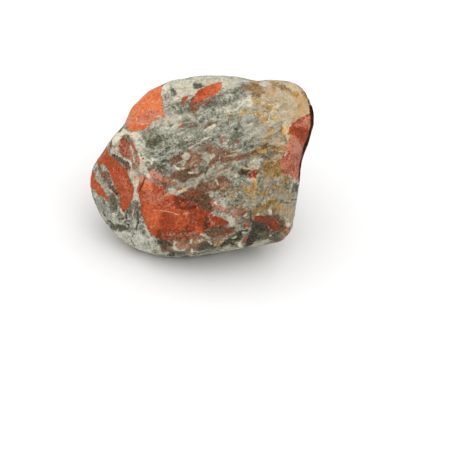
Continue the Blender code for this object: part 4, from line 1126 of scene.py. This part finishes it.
# The finishes. Colours are sRGB from 0 to 255, and a list of them has each one's place first.
finish = {
    "grey": [(0.0, 74, 76, 64), (0.2, 104, 106, 93), (0.42, 141, 141, 126), (0.6, 164, 163, 147),
             (0.8, 188, 186, 168), (1.0, 216, 212, 194)],
    "cool": [(0.0, 62, 68, 58), (0.2, 94, 99, 87), (0.42, 131, 135, 121), (0.8, 182, 184, 169),
             (1.0, 218, 216, 202)],
    "warm": (172, 152, 122),
    "rust": [(0.0, 112, 84, 62), (0.5, 134, 94, 74), (1.0, 168, 108, 84)],
    "gold": [(0.0, 140, 112, 70), (0.5, 170, 138, 86), (1.0, 206, 172, 112)],
    "quartz": [(0.0, 150, 130, 101), (0.35, 179, 157, 125), (0.65, 205, 185, 153), (1.0, 228, 214, 186)],
    "iron": [(0.0, 66, 50, 36), (0.3, 104, 74, 56), (0.5, 124, 86, 65), (0.75, 148, 106, 82),
             (1.0, 184, 142, 114)],
    "ochre": [(0.0, 92, 74, 44), (0.3, 138, 108, 62), (0.5, 168, 134, 74), (0.7, 194, 158, 92),
              (1.0, 230, 200, 150)],
    "dark": [(0.0, 38, 38, 30), (0.2, 58, 57, 44), (0.45, 78, 77, 61), (0.75, 116, 115, 98),
             (1.0, 158, 155, 134)],
    "pale": [(0.0, 156, 152, 133), (0.3, 188, 182, 160), (0.6, 212, 204, 180), (1.0, 240, 232, 208)],
    "yellow": [(0.0, 148, 112, 58), (0.35, 186, 142, 68), (0.6, 206, 168, 90), (0.9, 220, 178, 128),
               (1.0, 226, 198, 158)],
    "red": [(0.0, 60, 38, 28), (0.15, 88, 48, 34), (0.3, 118, 54, 34), (0.45, 146, 62, 36),
            (0.6, 178, 80, 46), (0.75, 204, 100, 58), (0.88, 226, 126, 76), (1.0, 236, 154, 110)],
    "seam": [(0.0, 46, 30, 22), (1.0, 90, 60, 44)],
    "hair": [(0.0, 190, 130, 104), (0.5, 208, 172, 146), (1.0, 232, 214, 188)],
    "milk": (206, 146, 122),       # clouds in the red
    "dust": (196, 160, 142),       # pale specks in the red
    "honey": (202, 164, 112),      # stains in the quartz
    "paleFleck": (222, 216, 196),
    "darkFleck": (88, 84, 68),
    "brightGrain": (226, 222, 206),
    "blackGrain": (78, 78, 66),
    "paleLine": (214, 208, 186),
    "darkLine": (82, 78, 62),
    "warmGrain": (176, 120, 78),
    "coolGrain": (136, 148, 140),
    # how soft each mineral's edge is, how far it wanders, how much its tone varies, how solid it is
    "edges": {
        "quartz": (0.8, 1.0, 0.6, 0.8), "iron": (0.32, 0.75, 0.7, 0.92), "ochre": (0.4, 1.1, 0.85, 0.85),
        "dark": (0.25, 0.6, 0.65, 0.92), "pale": (0.2, 0.42, 0.8, 0.88), "yellow": (0.14, 0.34, 0.55, 0.8),
        "red": (0.10, 0.16, 0.42, 1.0), "seam": (0.12, 0.15, 0.4, 0.8), "hair": (0.15, 0.2, 0.5, 0.8)},
    # noises: size in mm, detail, roughness, and a shift that keeps the patterns apart
    "noises": {
        "fine": (0.28, 2.0, 0.7, 0.0), "speck": (0.55, 3.0, 0.75, 0.013), "tiny": (0.2, 1.0, 0.5, 0.151),
        "middle": (1.3, 3.0, 0.65, 0.031), "life": (2.6, 2.0, 0.6, 0.163), "fleck": (0.7, 2.0, 0.6, 0.071),
        "dust": (0.24, 2.0, 0.6, 0.091)},
    "streakyNoises": {
        "streak": (0.9, 3.0, 0.65, 0.017), "broad": (3.2, 3.0, 0.6, 0.043), "rust": (0.8, 3.0, 0.7, 0.053),
        "gold": (1.1, 3.0, 0.7, 0.083)},
    # how much of them goes into the ground, into a mineral's tone, and into the red's
    "groundShares": {"broad": 0.6, "streak": 0.75, "middle": 0.75, "speck": 1.25, "fine": 1.0, "tiny": 1.0},
    "mineralShares": {"streak": 0.8, "tiny": 1.2, "fine": 1.2, "speck": 1.4},
    "redShares": {"streak": 0.5, "tiny": 1.1, "fine": 1.1, "speck": 0.75},
    # from which value each one shows, where it is full, and how strong it is then
    "spread": {
        "warm": (0.3, 1.0, 0.35), "cool": (-0.1, -0.9, 1.0), "paleFleck": (0.20, 0.30, 0.65),
        "darkFleck": (0.19, 0.28, 0.55), "brightGrain": (0.17, 0.21, 0.45),
        "blackGrain": (-0.18, -0.22, 0.45), "rust": (0.5, 0.85, 0.8), "gold": (0.5, 0.9, 0.75),
        "paleLine": (0.035, 0.008, 0.42),
        "darkLine": (0.035, 0.008, 0.42), "honey": (0.4, 1.1, 0.8), "milk": (0.25, 0.95, 0.75),
        "dust": (0.11, 0.18, 1.0), "warmGrain": (0.08, 0.18, 1.0), "coolGrain": (0.08, 0.18, 1.0)},
    "roughness": 0.72,
    "redRoughness": 0.58,
    "gloss": 0.15,
    "bump": (0.7, 0.3),   # strength, and height in mm
    "dim": 0.9,           # the light is a little over what shows colours as they are
    "haze": 0.010,        # and the dull gloss adds this much
}


def linear(red, green, blue):
    # an sRGB colour as Blender's colour sockets want it
    parts = [part / 255 for part in (red, green, blue)]
    parts = [part / 12.92 if part <= 0.04045 else ((part + 0.055) / 1.055) ** 2.4 for part in parts]
    return [max(part * finish["dim"] - finish["haze"], 0.002) for part in parts] + [1.0]


def stoneFinish():
    material = bpy.data.materials.new("bloodstone")
    material.use_nodes = True
    tree = material.node_tree
    shader = tree.nodes["Principled BSDF"]

    def join(value, socket):
        if isinstance(value, bpy.types.NodeSocket):
            tree.links.new(value, socket)
        else:
            socket.default_value = value

    def calc(kind, first, second=0.0, third=0.0, clamp=False):
        made = tree.nodes.new("ShaderNodeMath")
        made.operation = kind
        made.use_clamp = clamp
        for value, socket in zip((first, second, third), made.inputs):
            join(value, socket)
        return made.outputs[0]

    def times(first, second):
        return calc("MULTIPLY", first, second)

    def total(start, *shares, clamp=False):
        # the start, with so much of each value added to it
        for value, amount in shares:
            start = calc("MULTIPLY_ADD", value, amount, start, clamp)
        return start

    def mapped(source, **settings):
        made = tree.nodes.new("ShaderNodeMapping")
        for name, value in settings.items():
            made.inputs[name.capitalize()].default_value = value
        tree.links.new(source, made.inputs["Vector"])
        return made.outputs[0]

    def grain(place, size, detail=3.0, roughness=0.6, shift=0.0):
        # soft noise whose lumps are about this size in mm, centred on 0
        made = tree.nodes.new("ShaderNodeTexNoise")
        made.inputs["Scale"].default_value = 0.5 / (size * mm)
        made.inputs["Detail"].default_value = detail
        made.inputs["Roughness"].default_value = roughness
        tree.links.new(mapped(place, location=(shift, shift * 0.7, -shift)), made.inputs["Vector"])
        return calc("SUBTRACT", made.outputs["Fac"], 0.5)

    def step(value, low, high):
        made = tree.nodes.new("ShaderNodeMapRange")
        made.interpolation_type = "SMOOTHSTEP"
        join(value, made.inputs["Value"])
        join(low, made.inputs["From Min"])
        join(high, made.inputs["From Max"])
        return made.outputs["Result"]

    def spread(name, value):
        low, high, strength = finish["spread"][name]
        return times(step(value, low, high), strength)

    def ramp(value, stops):
        made = tree.nodes.new("ShaderNodeValToRGB")
        while len(made.color_ramp.elements) < len(stops):
            made.color_ramp.elements.new(0.5)
        for element, (place, *rgb) in zip(made.color_ramp.elements, stops):
            element.position = place
            element.color = linear(*rgb)
        join(value, made.inputs["Fac"])
        return made.outputs["Color"]

    def cover(under, over, part):
        # the colour under, with so much of another colour or of a named one over it
        made = tree.nodes.new("ShaderNodeMix")
        made.data_type = "RGBA"
        join(part, made.inputs["Factor"])
        join(under, made.inputs["A"])
        join(linear(*finish[over]) if isinstance(over, str) else over, made.inputs["B"])
        return made.outputs["Result"]

    def kept(name):
        made = tree.nodes.new("ShaderNodeAttribute")
        made.attribute_type = "GEOMETRY"
        made.attribute_name = name
        parts = tree.nodes.new("ShaderNodeSeparateXYZ")
        tree.links.new(made.outputs["Vector"], parts.inputs[0])
        return parts.outputs

    place = tree.nodes.new("ShaderNodeTexCoord").outputs["Object"]
    streaky = mapped(mapped(place, rotation=Matrix(grainAxes()).to_euler()), scale=(0.3, 1.0, 0.8))
    noises = {name: grain(place, *numbers) for name, numbers in finish["noises"].items()}
    for name, numbers in finish["streakyNoises"].items():
        noises[name] = grain(streaky, *numbers)
    fine, speck, middle, streak = [noises[name] for name in ("fine", "speck", "middle", "streak")]
    milk, grey, warm = kept("tints")
    shadeFromRelief, rust, gold = kept("flecks")

    # the grey-green ground, livelier in some parts than in others
    lively = calc("MAXIMUM", total(0.95, (noises["life"], 2.2)), 0.3)
    lively = times(lively, calc("SUBTRACT", 1.0, kept("quartz")[2]))
    value = total(0.53, (grey, 0.62))
    for name, amount in finish["groundShares"].items():
        value = total(value, (times(noises[name], lively), amount))
    # painted shade and wear: the ground is darker in the hollows of the broken surface and paler on its
    # ridges
    value = total(value, (times(shadeFromRelief, lively), 0.25))
    colour = ramp(value, finish["grey"])
    colour = cover(colour, "warm", spread("warm", total(warm, (middle, 1.2))))
    colour = cover(colour, ramp(value, finish["cool"]), spread("cool", warm))

    # pale and dark flecks, then crisp bright and black grains
    colour = cover(colour, "paleFleck", spread("paleFleck", total(speck, (streak, 0.5))))
    colour = cover(colour, "darkFleck", spread("darkFleck", total(noises["fleck"], (middle, 0.5))))
    crisp = total(fine, (speck, 0.6))
    for over in ("brightGrain", "blackGrain"):
        colour = cover(colour, over, times(spread(over, crisp), lively))

    # rusty and golden flecks, where the stains are
    shade = total(0.5, (grey, 0.9))
    for name, stain, lumps, variety in (("rust", rust, 2.6, 1.8), ("gold", gold, 2.4, 2.0)):
        stained = spread(name, total(stain, (speck, 0.8), (noises[name], lumps)))
        colour = cover(colour, ramp(total(shade, (speck, variety)), finish[name]), stained)

    # thin pale and dark lines along the grain
    for shift, over in ((0.11, "paleLine"), (0.17, "darkLine")):
        line = spread(over, calc("ABSOLUTE", grain(streaky, 1.3, 2.0, 0.5, shift)))
        broken = step(grain(place, 2.2, 2.0, 0.6, 2 * shift), -0.03, 0.06)
        colour = cover(colour, over, times(line, broken))

    # the minerals, one over the other
    mixed, sandy = [
        total(0.0, *[(noises[name], amount) for name, amount in finish[shares].items()])
        for shares in ("mineralShares", "redShares")]
    for number, mineral in enumerate(minerals):
        soft, wander, variety, solid = finish["edges"][mineral]
        edge, tone, mottle = kept(mineral)
        where = streaky if mineral in ("iron", "ochre", "dark", "pale") else place
        wobble = grain(where, 0.5 + 0.4 * wander, 3.0, 0.7, 0.1 + 0.037 * number)
        if mineral == "red":  # mottled red frays at its edges
            variety = total(variety, (mottle, 0.06))
            soft = total(soft, (mottle, 0.25))
            wander = total(wander, (mottle, 0.75))
            edge = calc("MINIMUM", edge, total(1.2, (mottle, -0.55)))
        ragged = total(edge, (wobble, times(wander, 4.0)))
        part = times(step(ragged, times(soft, -1.0), soft), solid)
        paint = ramp(total(tone, (sandy if mineral == "red" else mixed, variety)), finish[mineral])
        if mineral == "quartz":
            paint = cover(paint, "honey", spread("honey", total(gold, (speck, 0.8))))
        if mineral == "red":
            cloudy = total(milk, (fine, 1.5), (speck, 1.0), (streak, 0.9))
            paint = cover(paint, "milk", spread("milk", cloudy))
            dusty = total(0.15, (mottle, 0.45), clamp=True)
            paint = cover(paint, "dust", times(spread("dust", noises["dust"]), dusty))
            redPart = part
            gloss = times(step(tone, 0.06, 0.2), finish["gloss"])  # none on the rind
        colour = cover(colour, paint, part)

    # grains of warmer and of cooler colour all over
    for shift, over in ((0.131, "warmGrain"), (0.137, "coolGrain")):
        scattered = spread(over, grain(place, 0.26, 2.0, 0.6, shift))
        colour = cover(colour, over, times(scattered, total(0.32, (redPart, -0.2))))

    tree.links.new(colour, shader.inputs["Base Color"])
    smoother = finish["redRoughness"] - finish["roughness"]
    rough = total(total(finish["roughness"], (redPart, smoother)), (middle, 0.3), clamp=True)
    tree.links.new(rough, shader.inputs["Roughness"])
    tree.links.new(gloss, shader.inputs["Specular IOR Level"])
    strength, rise = finish["bump"]
    bump = tree.nodes.new("ShaderNodeBump")
    bump.inputs["Strength"].default_value = strength
    bump.inputs["Distance"].default_value = rise * mm
    roughness = total(0.0, (fine, 0.6), (speck, 0.8), (streak, 0.8))
    tree.links.new(times(roughness, total(1.0, (redPart, -0.6))), bump.inputs["Height"])
    tree.links.new(bump.outputs[0], shader.inputs["Normal"])
    return material


lump = stoneBody()
print("even mesh:", len(lump.data.vertices), "points")
startPlaces = readPoints(lump.data, "co")
behindFront, edge, tone, softTints = readMarks(startPlaces, readPoints(lump.data, "normal"))
addUnseenStains(startPlaces / mm, behindFront, edge, tone, softTints)
print("marks laid:", len(patches), "patches,", len(veins), "veins")
height = breakSurface(lump.data, edge)
keepMarks(lump.data, edge, tone, softTints, height)
lump.data.materials.clear()
lump.data.materials.append(stoneFinish())
lump.data.shade_smooth()
print("surface broken, finish on")
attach(lump, "root")
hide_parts("bloodstone")

# The floor, the light and the camera.
room = {
    "floor": 3.0,                             # half its width, in metres
    "floorColour": (0.84, 0.84, 0.84, 1.0),
    "sky": 0.60,
    "sun": 2.2,
    "sunSpread": 90,                          # degrees
    "sunLean": 8,                             # degrees towards the camera's side
    "nearest": 0.02,                          # what the camera sees, in metres
    "farthest": 20,
}


def addObject(name, data):
    made = bpy.data.objects.new(name, data)
    bpy.context.scene.collection.objects.link(made)
    return made


def paleFloor():
    bm = bmesh.new()
    bmesh.ops.create_grid(bm, x_segments=1, y_segments=1, size=room["floor"])
    mesh = bpy.data.meshes.new("floor")
    bm.to_mesh(mesh)
    bm.free()
    material = bpy.data.materials.new("paleFloor")
    material.use_nodes = True
    sockets = material.node_tree.nodes["Principled BSDF"].inputs
    sockets["Base Color"].default_value = room["floorColour"]
    sockets["Roughness"].default_value = 0.9
    sockets["Specular IOR Level"].default_value = 0.1
    mesh.materials.append(material)
    return addObject("floor", mesh)


paleFloor()

world = bpy.data.worlds.new("studio")
world.use_nodes = True
world.node_tree.nodes["Background"].inputs["Color"].default_value = (1, 1, 1, 1)
world.node_tree.nodes["Background"].inputs["Strength"].default_value = room["sky"]
bpy.context.scene.world = world
sun = bpy.data.lights.new("softLight", "SUN")
sun.energy = room["sun"]
sun.angle = radians(room["sunSpread"])
addObject("softLight", sun).rotation_euler = (radians(room["sunLean"]), 0, 0)

lens = bpy.data.cameras.new("pictureCamera")
lens.lens = pictureView["lens"]
lens.sensor_width = pictureView["sensor"]
lens.clip_start, lens.clip_end = room["nearest"], room["farthest"]
camera = addObject("pictureCamera", lens)
turn = Matrix((pictureRight, pictureUp, -ahead)).transposed()
camera.matrix_world = Matrix.Translation(cameraPlace) @ turn.to_4x4()
bpy.context.scene.camera = camera
bpy.context.scene.view_settings.view_transform = "Standard"
print("room, light and camera set")
